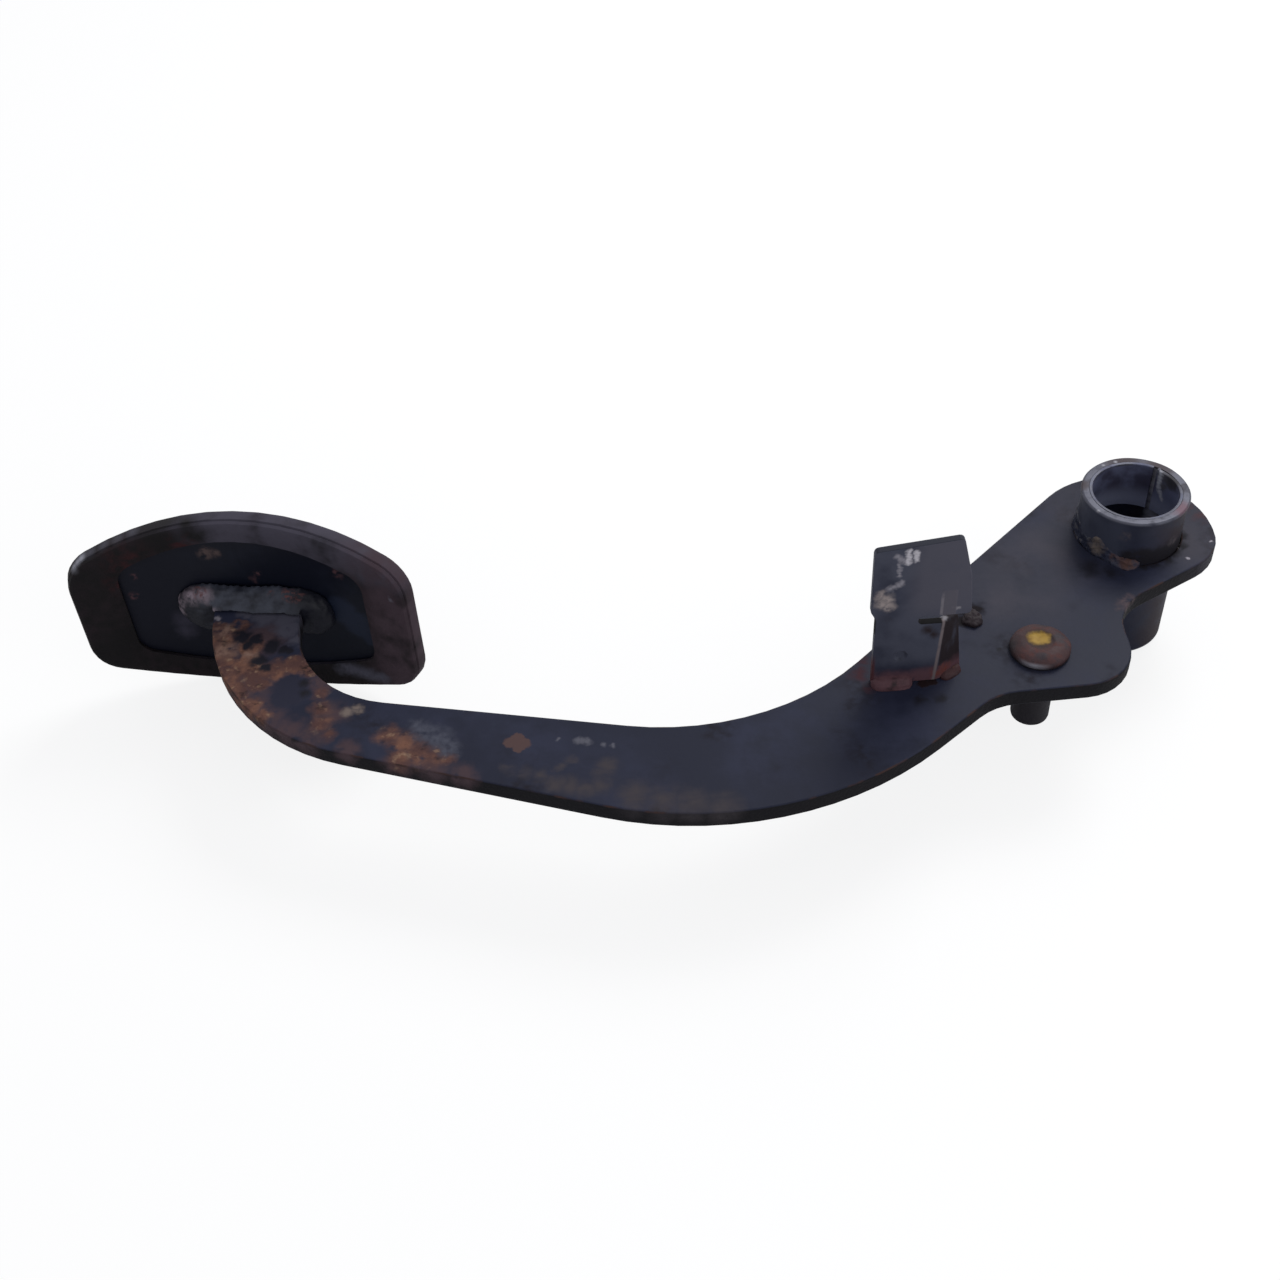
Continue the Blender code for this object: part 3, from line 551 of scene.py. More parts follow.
def tube_material(colours):
    """Painted pivot tube whose end rings are rubbed grey by the cheeks that it turns between."""
    skin = Skin("worn_pivot_tube", 1.4)
    stoving_paint(skin, colours)
    skin.lay("373a48", 0.6, 0.0, 0.006, skin.along(X, -2, -10), skin.along(Y, 4, -4),
             skin.mottle(7, 0.1, 0.6))
    skin.lay("2a2226", 0.65, 0.0, 0.006, skin.along(X, -2, 14), skin.mottle(6, 0.25, 0.6))
    # Painted shade at the foot of the tube's right front, where it is not welded
    below = skin.patches(round_tube(range(255, 356, 10), 1.0, 2.6, 5.2), 0.6)
    skin.lay("141219", 0.7, 0.0, 0.02, below, skin.mottle(3, 0.1, 0.4))
    smear = skin.patches([(-6.2, -15.2, 14.0, 3.0), (10.0, -13.0, 9.2, 3.0)], 1.0)
    skin.lay("4a4448", 0.6, 0.0, 0.0, smear, skin.mottle(2, 0.3, 0.6))
    # Painted light: paler patches on the tube's inner wall down the bore by the slit
    bore = skin.patches(trail((8.9, 8.0, 13.0), (8.9, 8.0, -2.0), 6, 4.2), 0.45, 0.0)
    skin.lay("8a8a96", 0.6, 0.0, 0.0, bore)
    # Painted light on the tube's inner wall seen through the bush's slit
    painted_light_behind_slit = skin.patches(trail((8.8, 8.2, TUBE_END_MM - 1.0), (9.2, 7.8, 11.0), 5, 4.1), 0.5, 0.0)
    skin.lay("8f8e96", 0.6, 0.0, 0.0, painted_light_behind_slit)

    lower_end = TUBE_LOW.z / MM
    low = skin.along(Z, lower_end + 1.2, lower_end + 0.4)
    high = skin.along(Z, TUBE_END_MM - 1.2, TUBE_END_MM - 0.4)
    skin.lay(colours.bare, 0.4, 0.35, 0.0, skin.either(low, high), skin.mottle(4.5, 0.2, 0.5, 6.0))
    browned = skin.patches(on_tube_end([(0, 16, 10), (11, 12, 8), (-16, 5, 4)]), 0.9, 1.0)
    skin.lay("413a3e", 0.6, 0.2, 0.02, browned, high)
    pink = skin.patches(on_tube_end([(11.8, -10.8, 5)]), 0.7, 1.0)
    skin.lay("5c4852", 0.5, 0.3, 0.0, pink, high)
    glints = skin.patches(on_tube_end([(-14.3, -8.5, 1.0), (-2.7, 15.0, 1.0), (-7.0, 13.8, 0.8)]), 0.9, 0.0)
    skin.lay("7b7b82", 0.4, 0.3, 0.0, glints, high)
    return skin.close(0.2)


def tube_weld_material(colours):
    """Weld metal under brushed paint, with tan and brown rust on its two big lumps."""
    skin = Skin("painted_tube_weld", 1.0)
    stoving_paint(skin, colours)
    rust = rust_finish(skin, colours)
    tan = skin.patches([
        (-14.3, -10.5, 9.8, 4.0), (-13.8, -11.8, 6.8, 3.8), (-12.0, -13.5, 8.5, 2.6),
        (-15.5, -10.4, 7.4, 3.4)], 0.8)
    skin.lay("625852", 0.8, 0.0, 0.05, tan, skin.mottle(2.2, 0.2, 0.55))
    brown = skin.patches([
        (-9.8, -16.0, 6.5, 3.0), (-7.5, -17.2, 6.0, 3.2), (-5.0, -18.2, 5.2, 3.4),
        (-2.5, -18.8, 5.0, 3.0)], 0.6)
    skin.lay("4c3632", 0.8, 0.0, rust[3], brown, skin.mottle(2.6, 0.25, 0.5))
    hook = skin.patches(trail((-2.2, -18.2, 8.5), (-1.2, -19.5, 4.5), 3, 1.5), 0.8)
    skin.lay("5c5a5e", 0.6, 0.1, 0.03, hook)
    skin.lay("46444a", 0.6, 0.1, 0.02, skin.mottle(2.4, 0.56, 0.66, 5.0), skin.along(X, -12, -15))
    return skin.close(0.25)


def weld_material(name, colours, tint, rusting):
    """Weld metal under thin paint: ripples, with rust where the paint never held."""
    skin = Skin(name)
    ripple = skin.mottle(1.6, 0.3, 0.7, 3.0, top=0.03)
    skin.finish = [tint, 0.6, 0.0, ripple]
    skin.lay("201519", 0.6, 0.0, ripple, skin.mottle(4.5, 0.5, 0.75, 5.0))
    skin.lay(*rust_finish(skin, colours), skin.mottle(5, rusting, rusting + 0.2, 6.0))
    return skin.close(0.2)


def pad_weld_material():
    """Painted weld, dark navy with a painted blue-grey sheen on its upward middle, and red at a few pinholes.
    """
    skin = Skin("painted_sheen_pad_weld", 1.0)
    ripple = skin.mottle(2.2, 0.3, 0.7, 3.0, top=0.03)
    skin.finish = ["12131c", 0.5, 0.0, ripple]
    # Painted sheen: blue-grey on the weld's upward middle
    middle = skin.both(skin.band(X, -302, -284, 13), skin.facing_up(-0.1, 0.5))
    skin.lay("3d404b", 0.45, 0.1, ripple, middle, skin.mottle(5.5, 0.25, 0.65, 6.0))
    pale = skin.patches([
        (-316.5, 0.8, 3.6, 4.2), (-312.0, -1.0, 6.8, 4.8), (-306.8, -1.8, 7.6, 4.4),
        (-317.8, 0.2, -1.0, 3.6), (-304.0, -7.0, 4.0, 3.0)], 0.9)
    skin.lay("81747d", 0.55, 0.1, 0.0, pale, skin.mottle(2.2, 0.25, 0.6))
    red = skin.patches([
        (-308.5, -1.2, 8.2, 3.6), (-278.2, -5.8, 9.0, 3.4), (-274.5, -6.8, 8.8, 3.0),
        (-283.6, -4.8, 9.2, 2.0)], 0.8)
    skin.lay("5e3c3c", 0.8, 0.0, 0.05, red, skin.mottle(1.6, 0.42, 0.6))
    return skin.close(0.2)


def bush_material(colours):
    """Rolled steel bush, lined and greased: drawn streaks along the bore and a worn lip."""
    skin = Skin("greased_bush_lining", 1.0)
    top = TUBE_END_MM
    streaks = skin.mottle(1.6, 0.3, 0.7, 3.0, (1.0, 1.0, 0.12), 0.01)
    skin.finish = [colours.bush, 0.5, 0.1, streaks]
    skin.lay("373648", 0.6, 0.1, streaks, skin.mottle(9, 0.4, 0.65))
    # Painted light: a paler band part way down the bore
    skin.lay("84889f", 0.5, 0.1, streaks, skin.along(Z, 13, 5), skin.along(Z, -5, 2))
    skin.lay(colours.bare, 0.42, 0.35, 0.0, skin.along(Z, top - 1.2, top - 0.5), skin.mottle(3.5, 0.25, 0.6))
    grey = [(11.2, 7.8, top - 1.5, 4.0), (12.3, 5.0, top - 2.0, 3.6), (11.5, 7.0, top - 5.0, 3.0)]
    skin.lay("4c4b53", 0.6, 0.1, 0.0, skin.patches(grey, 0.8))
    skin.lay("2c2b31", 0.6, 0.1, 0.0, skin.patches([(13.2, 3.5, top, 6.0)], 0.7))
    torn = trail((10.4, 8.2, top - 0.8), (10.6, 8.0, top - 6.2), 5, 1.6)
    torn += trail((10.8, 7.6, top - 8.0), (11.7, 6.2, top - 10.2), 4, 1.4)
    skin.lay("a6a7b0", 0.5, 0.1, 0.0, skin.patches(torn, 0.9, FINE))
    return skin.close(0.25)


def pin_material(colours):
    """Browned steel pin: a rust-red dome with a dab of yellow marking paint, painted shade below and to the
    left, and a rim rubbed bright and painted with a highlight.
    """
    skin = Skin("browned_pin_steel", 0.5)
    x, y, low, top = PIN_X / MM, PIN_Y / MM, ARM_TOP_MM, PIN_HIGH.z / MM
    grit = skin.mottle(1, 0.25, 0.75, 5.0, top=0.03)
    skin.finish = [colours.pin, 0.6, 0.1, grit]
    skin.lay("4c2e2c", 0.8, 0.0, grit, skin.mottle(3.2, 0.42, 0.68))
    skin.lay("2b2228", 0.6, 0.1, grit, skin.mottle(4.5, 0.5, 0.72))
    # Painted shade: darker low on the pin, under its head
    skin.lay("17141a", 0.55, 0.1, grit, skin.along(Z, low + 1.8, low + 0.4))
    # Painted shade on the left side of the head
    shaded_side = skin.patches([(x - 8.8, y + 1.0, low + 1.8, 6.2)], 1.0, 0.0)
    skin.lay("1f191e", 0.6, 0.1, grit, shaded_side)
    # The rim's front is rubbed bright, with a painted highlight laid over it
    rubbed_and_highlit = skin.patches([(x - 4.0, y - 7.8, low + 1.4, 6.6)], 1.0, 0.0)
    skin.lay("77757d", 0.4, 0.2, 0.0, rubbed_and_highlit, skin.band(Z, low + 1.2, low + 1.8, 0.9))
    skin.lay("2a1d1b", 0.7, 0.0, grit, skin.patches([(x - 0.4, y + 1.2, top, 5.4)], 0.5))
    dab = skin.patches([(x - 1.0, y + 1.6, top, 3.6), (x + 0.6, y + 1.4, top, 3.4)], 0.55)
    brush_marks = skin.mottle(2.2, 0.3, 0.7, 4.0, top=0.03)
    yellow = skin.blend([colours.yellow, 0.55, 0.0, brush_marks], ["7a5c22", 0.7, 0.0, brush_marks],
                        skin.mottle(3.5, 0.45, 0.75, 6.0))
    yellow[3] = 0.12
    skin.lay(*yellow, dab)
    return skin.close(0.25)


def bracket_fold(skin):
    """The bracket's fold and slot: a darker flange, a darker patch under the slot and painted shade inside
    the slot.
    """
    skin.lay("1e171b", 0.75, 0.0, 0.03, skin.along(X, -74.8, -73.8), skin.along(Z, 28.2, 27.2),
             skin.mottle(5, 0.15, 0.5, 5.0, (1.0, 1.0, 0.5)))
    under_slot = skin.patches(on_face([(-79.0, 25.0, 3.0), (-76.8, 23.2, 2.8)]), 1.0)
    skin.lay("231b1f", 0.75, 0.0, 0.02, under_slot)
    # Painted shade inside the slot
    skin.lay("070609", 0.8, 0.0, 0.0, skin.band(Z, 24.5, 30.5, 0.2), skin.along(Y, FACE_MM, FACE_MM + 0.2),
             skin.along(X, -73.8, -74.6))


def bracket_rust(skin):
    """Rust where the bracket meets the arm and at the left end of its foot."""
    foot = skin.along(Z, 10.5, 5.8, skin.ragged(skin.wander))
    skin.lay("543b42", 0.8, 0.0, 0.02, foot, skin.mottle(3.5, 0.15, 0.4))
    orange = skin.patches([(-72.2, -60.0, 6.6, 4.2), (-75.2, FACE_MM, 6.2, 2.8)], 0.8)
    skin.lay("5e3430", 0.85, 0.0, 0.06, orange, skin.mottle(2.4, 0.35, 0.55))
    skin.lay("45272c", 0.8, 0.0, 0.04, skin.along(X, -93.2, -94.2), skin.along(Z, 17, 11))


def bracket_scuffs(skin, colours):
    """Where the switch rubbed: flecks and a pale oval down to metal, and a tan smear beside them."""
    flecks = trail((-89.6, 55.2), (-87.4, 53.0), 4, 1.6)
    flecks += trail((-88.6, 52.0), (-88.5, 47.5), 5, 1.1)
    flecks += trail((-87.6, 44.8), (-90.8, 42.8), 4, 1.7)
    skin.lay("85828a", 0.6, 0.1, 0.0, skin.patches(on_face(flecks), 0.9, FINE),
             skin.mottle(2.2, 0.15, 0.5, 5.0, (1.0, 1.0, 0.4)))
    ovals = trail((-86.3, 56.8), (-86.1, 52.5), 5, 1.4)
    ovals += trail((-84.0, 56.0), (-83.8, 53.2), 4, 1.4)
    skin.lay(colours.scuff, 0.55, 0.1, 0.0, skin.patches(on_face(ovals), 0.8, FINE),
             skin.mottle(1.6, 0.05, 0.4, 5.0, (1.0, 1.0, 0.3)))
    tan = on_face([(-93.2, 37.1, 3.1), (-91.6, 38.6, 3.3), (-93.6, 40.4, 2.8), (-90.9, 36.0, 2.8)])
    skin.lay("988d8a", 0.75, 0.0, 0.0, skin.patches(tan, 0.9), skin.mottle(2, 0.2, 0.5))


def bracket_ridge(skin):
    """The rubbed fold with a painted highlight on its ridge, painted glints at the fold's ends by the slot,
    and the narrow tab pressed out above the slot with a painted highlight on its left edge.
    """
    tilted = add_node(skin.tree, "Mapping", {}, {0: skin.coords, 2: (0.0, radians(-3.5), 0.0)}).outputs[0]
    # Painted highlight along the rubbed ridge of the fold
    skin.lay("6b6163", 0.5, 0.1, 0.0, skin.band(X, -75.7, -75.4, 0.6, tilted), skin.along(Z, 29.0, 27.5),
             skin.mottle(4, 0.2, 0.5, 5.0), skin.along(Y, FACE_MM + 2.0, FACE_MM + 1.4))
    # Painted glints at the ends of the fold by the slot
    tip_glints = on_face([(-73.7, 31.0, 1.2), (-71.6, 33.2, 1.3), (-70.5, 33.0, 1.0)]) + [(-73.7, -59.3, 27.5, 1.4)]
    skin.lay("7d7a80", 0.5, 0.1, 0.0, skin.patches(tip_glints, 0.8, FINE))
    skin.lay("524f58", 0.5, 0.0, 0.08, skin.band(X, -75.0, -71.2, 0.5), skin.band(Z, 30.0, 40.2, 0.5),
             skin.facing_up(0.7, 0.5), skin.mottle(6, 0.0, 0.5))
    # Painted highlight along the tab's left edge
    skin.lay("6d6970", 0.5, 0.1, 0.0, skin.band(X, -75.4, -74.9, 0.4), skin.band(Z, 30.5, 38.5, 2.0),
             skin.mottle(3, 0.2, 0.6))


def bracket_material(colours):
    """Painted sheet bracket, scuffed to metal where the switch rubbed and rusty along its foot."""
    skin = Skin("scuffed_bracket_paint", 1.1)
    stoving_paint(skin, colours)
    skin.lay("444653", 0.6, 0.0, 0.006, skin.mottle(12, 0.1, 0.6), skin.along(Z, 6, 14))
    skin.lay("4c4b56", 0.6, 0.0, 0.006, skin.along(Z, 27, 36), skin.along(X, -88, -80),
             skin.mottle(10, 0.1, 0.5))
    skin.lay("262833", 0.6, 0.0, 0.0, skin.facing_up(0.55, 0.8))
    bracket_fold(skin)
    bracket_rust(skin)
    bracket_scuffs(skin, colours)
    bracket_ridge(skin)
    return skin.close(0.15)


def plate_material(colours):
    """Pressed pad plate in navy paint, thin and pale where a heel of grit has rubbed it."""
    skin = Skin("navy_pad_plate_paint", 0.8)
    peel = skin.mottle(1.8, 0.3, 0.7, 2.0, top=0.01)
    skin.finish = [colours.plate, 0.45, 0.0, peel]
    skin.lay("141724", 0.5, 0.0, peel, skin.mottle(20, 0.45, 0.7, 5.0), skin.mottle(4, 0.3, 0.8))
    skin.lay("0a0c18", 0.55, 0.0, peel, skin.along(X, -295, -325), skin.mottle(20, 0.1, 0.5))
    worn = [(-262.1, -7.8, 1.0, 7.5), (-256.6, -9.8, -4.0, 7.5), (-252.6, -10.8, -9.0, 5.0)]
    skin.lay(colours.plate_worn, 0.5, 0.0, peel, skin.patches(worn, 0.4))
    grey = skin.patches([(-317.2, 3.4, -7.6, 6.5), (-318.0, 3.4, -12.5, 5.5)], 1.0)
    skin.lay("302e3b", 0.5, 0.0, peel, grey)
    tan = skin.patches([(-303.4, 2.8, 22.1, 4.2), (-300.4, 2.6, 22.2, 3.0)], 0.9)
    skin.lay("4e4140", 0.8, 0.0, 0.02, tan, skin.mottle(2, 0.3, 0.6))
    pink = skin.patches([
        (-260.0, -7.8, 18.2, 3.4), (-287.8, 0.5, 13.5, 1.8), (-331.6, 2.7, 6.0, 2.2),
        (-329.6, 2.7, 14.0, 2.0), (-289.6, -0.8, 11.0, 3.0)], 0.9)
    skin.lay("4a3338", 0.8, 0.0, 0.04, pink, skin.mottle(1.6, 0.4, 0.62))
    return skin.close(0.15)


def rubber_material(colours):
    """Moulded rubber, gone brown-black: dust in the skin, painted light on top and at the right end, painted
    highlights on two edges and a few nicks.

    The mould's grain is about 0.3 mm across. It is drawn at 1.1 mm, so that it shows.
    """
    skin = Skin("dusty_black_rubber", 1.0)
    grain = skin.mottle(1.1, 0.3, 0.7, 4.0, top=0.02)
    skin.finish = [colours.rubber, 0.6, 0.0, grain]
    skin.lay(colours.rubber_dust, 0.8, 0.0, grain, skin.mottle(24, 0.3, 0.68, 5.0), skin.mottle(3, 0.2, 0.75))
    # Painted light on the upward faces of the lip
    skin.lay("3a3741", 0.7, 0.0, grain, skin.facing_up(0.1, 0.8), skin.mottle(12, 0.2, 0.7, 6.0),
             skin.along(X, -335, -300))
    # Painted light along the top of the cover
    skin.lay("44414c", 0.7, 0.0, grain, skin.band(X, -300, -235, 15), skin.along(Z, 14, 24),
             skin.mottle(12, 0.2, 0.6, 6.0))
    # Painted light on the right end of the cover
    skin.lay("40343b", 0.75, 0.0, grain, skin.along(X, -262, -245), skin.mottle(8, 0.2, 0.6, 6.0))
    # Painted highlight on the lip's lower right inner edge
    inner = skin.patches(trail((-266.0, -7.5, -25.2), (-252.0, -14.0, -25.0), 9, 4.6), 1.0)
    skin.lay("4c4b57", 0.7, 0.0, grain, inner, skin.mottle(6, 0.15, 0.6))
    # Painted highlight on the upper-left corner of the rim
    corner = skin.patches(trail((-346.2, 1.0, 21.5), (-344.0, 2.6, 24.0), 3, 3.0), 1.0, 0.0)
    skin.lay("9a9aa4", 0.5, 0.0, grain, corner)
    # Painted highlight running on along the rim's upper-left edge
    crown_highlight = skin.patches(trail((-341.0, 3.5, 25.7), (-326.0, 5.4, 31.3), 4, 4.0), 1.0, 0.0)
    skin.lay("403f48", 0.6, 0.0, grain, crown_highlight)
    red = skin.patches([(-328.4, 1.1, 22.1, 12), (-309.0, 1.5, 27.2, 8), (-333.6, 1.2, 14.0, 8)], 1.0)
    skin.lay("33191c", 0.8, 0.0, grain, red, skin.mottle(3.4, 0.38, 0.7))
    nicks = skin.patches([(-243.0, -18.6, 15.0, 1.2), (-241.6, -18.8, 12.8, 0.8)], 0.8)
    skin.lay("55505a", 0.6, 0.0, 0.0, nicks)
    return skin.close(0.13)


def only(piece):
    """Make one object active and the only one selected."""
    bpy.ops.object.select_all(action="DESELECT")
    piece.select_set(True)
    bpy.context.view_layer.objects.active = piece


def put_in_scene(name, mesh):
    """Add a mesh to the scene as an object, selected alone."""
    piece = bpy.data.objects.new(name, mesh)
    bpy.context.scene.collection.objects.link(piece)
    only(piece)
    return piece


def merged_copy(node, name):
    """A copy of a solid as a piece of its own, its loose triangles merged into one skin of flat faces."""
    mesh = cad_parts[node].data.copy()
    mesh.name = name
    mesh.materials.clear()
    piece = put_in_scene(name, mesh)
    bpy.ops.mesh.customdata_custom_splitnormals_clear()
    bpy.ops.object.mode_set(mode="EDIT")
    bpy.ops.mesh.select_all(action="SELECT")
    bpy.ops.mesh.remove_doubles(threshold=MERGE_DISTANCE)
    bpy.ops.mesh.mark_sharp(clear=True)
    bpy.ops.mesh.dissolve_limited(angle_limit=radians(0.2))
    bpy.ops.object.mode_set(mode="OBJECT")
    return piece


def apply_modifier(piece, kind, **settings):
    """Add a modifier with its settings and apply it."""
    only(piece)
    modifier = piece.modifiers.new(kind.lower(), kind)
    for name, value in settings.items():
        setattr(modifier, name, value)
    bpy.ops.object.modifier_apply(modifier=modifier.name)


def smooth(piece, angle, weighted=True):
    """Shade round stretches smooth and keep big flat faces flat."""
    only(piece)
    bpy.ops.object.shade_smooth_by_angle(angle=radians(angle))
    if weighted:
        apply_modifier(piece, "WEIGHTED_NORMAL", keep_sharp=True, weight=60)


def rounded_copy(node, name, width, bevel_angle, smooth_angle):
    """A copy of a solid with its sharp edges rounded."""
    piece = merged_copy(node, name)
    apply_modifier(piece, "BEVEL", width=width, segments=2, limit_method="ANGLE",
                   angle_limit=radians(bevel_angle))
    smooth(piece, smooth_angle)
    return piece


def spun(name, profile, steps, closed, centre=(0.0, 0.0), start=0.0, sweep=2 * pi):
    """Draw a profile of (radius, height) points and spin it about an upright axis."""
    mesh = bpy.data.meshes.new(name)
    points = [(centre[0] + r * cos(start), centre[1] + r * sin(start), z) for r, z in profile]
    edges = [(i, i + 1) for i in range(len(points) - 1)]
    if closed:
        edges.append((len(points) - 1, 0))
    mesh.from_pydata(points, edges, [])
    piece = put_in_scene(name, mesh)
    bpy.ops.object.mode_set(mode="EDIT")
    bpy.ops.mesh.select_all(action="SELECT")
    bpy.ops.mesh.spin(steps=steps, angle=sweep, center=(*centre, 0), axis=(0, 0, 1))
    bpy.ops.mesh.select_all(action="SELECT")
    bpy.ops.mesh.remove_doubles(threshold=MERGE_DISTANCE)
    bpy.ops.mesh.select_all(action="SELECT")
    bpy.ops.mesh.fill_holes(sides=0)
    bpy.ops.mesh.select_all(action="SELECT")
    bpy.ops.mesh.normals_make_consistent(inside=False)
    bpy.ops.object.mode_set(mode="OBJECT")
    return piece


def above(height):
    """Share for roughen that leaves all under a height as it is."""
    return lambda point: 1.0 if point.z > height else 0.0


def roughen(piece, amount, size, seed, keep=None):
    """Push the skin out and in by noise with features about a size across; keep(point) is the share moved."""
    mesh = piece.data
    shift = Vector([seed * step for step in SEED_STEPS])
    normals = [vert.normal.copy() for vert in mesh.vertices]
    for vert, normal in zip(mesh.vertices, normals):
        share = keep(vert.co) if keep else 1.0
        vert.co += normal * amount * share * noise.fractal(vert.co / size + shift, 1.0, 2.0, 3)
    mesh.update()


def bead_body(node, name, voxel, soften):
    """A weld bead's copy, rebuilt in fine even cells and softened like metal that has flowed."""
    bead = merged_copy(node, name)
    apply_modifier(bead, "REMESH", mode="VOXEL", voxel_size=voxel)
    apply_modifier(bead, "SMOOTH", factor=0.5, iterations=soften)
    return bead


def finish_piece(piece, material, slot, *nodes):
    """Give a finished piece its material, its body and the solids that it stands for; its record slot is not
    used.
    """
    piece.data.materials.clear()
    piece.data.materials.append(material)
    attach(piece, BODY)
    if nodes:
        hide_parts(*nodes)


class PedalStage(PropertyGroup):
    """Where the photograph was taken from."""

    camera_place: FloatVectorProperty(name="Camera place", description="Where the camera stands",
                                      default=(-0.17007, -0.41702, 0.37937), size=3, subtype="TRANSLATION",
                                      unit="LENGTH")
    azimuth: FloatProperty(name="Azimuth", description="Turn of the camera round the pedal",
                           default=radians(2.25), subtype="ANGLE", unit="ROTATION")
    elevation: FloatProperty(name="Elevation", description="How steeply the camera looks down",
                             default=radians(44.83), subtype="ANGLE", unit="ROTATION")
    roll: FloatProperty(name="Roll", description="Tilt of the camera about its own line of sight",
                        default=radians(-5.923), subtype="ANGLE", unit="ROTATION")
    lens: FloatProperty(name="Lens", description="Focal length on a 36 mm sensor", default=47.33, min=1.0)
    shift_x: FloatProperty(name="Shift X", description="Sideways shift of the frame", default=0.0518)
    shift_y: FloatProperty(name="Shift Y", description="Upward shift of the frame", default=0.0122)


class PEDAL_OT_stage(Operator):
    """Lay a pale floor, hang soft lamps and set the camera at the photograph's angle"""

    bl_idname = "pedal.stage"
    bl_label = "Stage, lamps and camera"

    def floor(self):
        """A wide floor that takes the pedal's shadow and looks nearly white to the camera."""
        bpy.ops.mesh.primitive_plane_add(size=FLOOR_SIZE, location=(0, 0, cad_low.z - FLOOR_GAP))
        floor = bpy.context.active_object
        floor.name = "floor"
        made = bpy.data.materials.new("pale_floor")
        made.use_nodes = True
        tree = made.node_tree
        tree.nodes.clear()
        seen = add_node(tree, "LightPath").outputs["Is Camera Ray"]
        share = add_node(tree, "Math", {"operation": "MULTIPLY"}, {0: seen, 1: FLOOR_GLOW_SHARE}).outputs[0]
        matt = add_node(tree, "BsdfDiffuse", {}, {"Color": FLOOR_GREY}).outputs[0]
        glow = add_node(tree, "Emission", {}, {"Color": WHITE, "Strength": FLOOR_GLOW}).outputs[0]
        mixed = add_node(tree, "MixShader", {}, {0: share, 1: matt, 2: glow}).outputs[0]
        add_node(tree, "OutputMaterial", {}, {"Surface": mixed})
        floor.data.materials.append(made)

    def sky(self, scene):
        """Dim light from all round, which the camera and the gloss on the metal see as white."""
        world = bpy.data.worlds.new("pale_studio")
        world.use_nodes = True
        scene.world = world
        tree = world.node_tree
        tree.nodes.clear()
        path = add_node(tree, "LightPath")
        seen = path.outputs["Is Camera Ray"]
        for ray in ("Is Glossy Ray", "Is Transmission Ray"):
            either = add_node(tree, "Math", {"operation": "MAXIMUM"}, {0: seen, 1: path.outputs[ray]})
            seen = either.outputs[0]
        dim = add_node(tree, "Background", {}, {"Color": SKY_BLUE, "Strength": SKY_STRENGTH}).outputs[0]
        white = add_node(tree, "Background", {}, {"Color": WHITE, "Strength": 1.0}).outputs[0]
        mixed = add_node(tree, "MixShader", {}, {0: seen, 1: dim, 2: white}).outputs[0]
        add_node(tree, "OutputWorld", {}, {"Surface": mixed})

    def lamp(self, name, place, aim, size, power):
        """A soft square lamp at a place, turned towards its aim."""
        bpy.ops.object.light_add(type="AREA", location=place)
        lamp = bpy.context.active_object
        lamp.name = name
        lamp.data.size = size
        lamp.data.energy = power
        lamp.rotation_euler = (Vector(place) - Vector(aim)).to_track_quat("Z", "Y").to_euler()

    def camera(self, stage):
        """The camera that was fitted to the photograph, turned by azimuth, elevation and roll."""
        turn, rise, roll = stage.azimuth, stage.elevation, stage.roll
        back = Vector((sin(turn) * cos(rise), -cos(turn) * cos(rise), sin(rise)))
        right = Vector((cos(turn), sin(turn), 0))
        up = back.cross(right)
        side = right * cos(roll) + up * sin(roll)
        top = up * cos(roll) - right * sin(roll)
        bpy.ops.object.camera_add()
        camera = bpy.context.active_object
        placed = Matrix((side, top, back)).transposed().to_4x4()
        placed.translation = Vector(stage.camera_place)
        camera.matrix_world = placed
        camera.data.lens = stage.lens
        camera.data.sensor_width = SENSOR_WIDTH
        camera.data.shift_x = stage.shift_x
        camera.data.shift_y = stage.shift_y
        camera.data.clip_start = CLIP_START
        return camera

    def execute(self, context):
        scene = context.scene
        scene.view_settings.view_transform = "Standard"
        self.floor()
        self.sky(scene)
        middle = (cad_low + cad_high) / 2
        for name, place, size, power in LAMPS:
            self.lamp(name, place, middle, size, power)
        scene.camera = self.camera(scene.pedal_stage)
        return {"FINISHED"}


class PEDAL_OT_arm(Operator):
    """Finish the swept arm and the lump of weld spatter behind the bracket"""

    bl_idname = "pedal.arm"
    bl_label = "Arm"

    def spatter(self, radius):
        """A drop of weld metal that has set on the arm, cut off just under its face."""
        bpy.ops.mesh.primitive_ico_sphere_add(subdivisions=5, radius=radius,
                                              location=(*SPATTER_PLACE, ARM_TOP + radius * 0.05))
        lump = bpy.context.active_object
        lump.name = "weld_spatter"
        lump.scale = SPATTER_SHAPE
        bpy.ops.object.transform_apply(location=True, rotation=True, scale=True)
        bpy.ops.object.mode_set(mode="EDIT")
        bpy.ops.mesh.select_all(action="SELECT")
        bpy.ops.mesh.bisect(plane_co=(0, 0, ARM_TOP - SPATTER_SINK), plane_no=(0, 0, 1), clear_inner=True,
                            use_fill=True)
        bpy.ops.object.mode_set(mode="OBJECT")
        roughen(lump, amount=0.0010, size=0.0030, seed=5, keep=above(ARM_TOP))
        smooth(lump, 50, weighted=False)
        return lump

    def execute(self, context):
        sizes = context.scene.pedal_sizes
        colours = context.scene.pedal_colours
        arm = rounded_copy("pedal_arm", "swept_arm", sizes.arm_edge, bevel_angle=50, smooth_angle=50)
        finish_piece(arm, arm_material(colours), "painted_steel", "pedal_arm")
        lump = self.spatter(sizes.spatter)
        finish_piece(lump, weld_material("spatter_metal", colours, "231b20", 0.66), "rusty_weld")
        return {"FINISHED"}


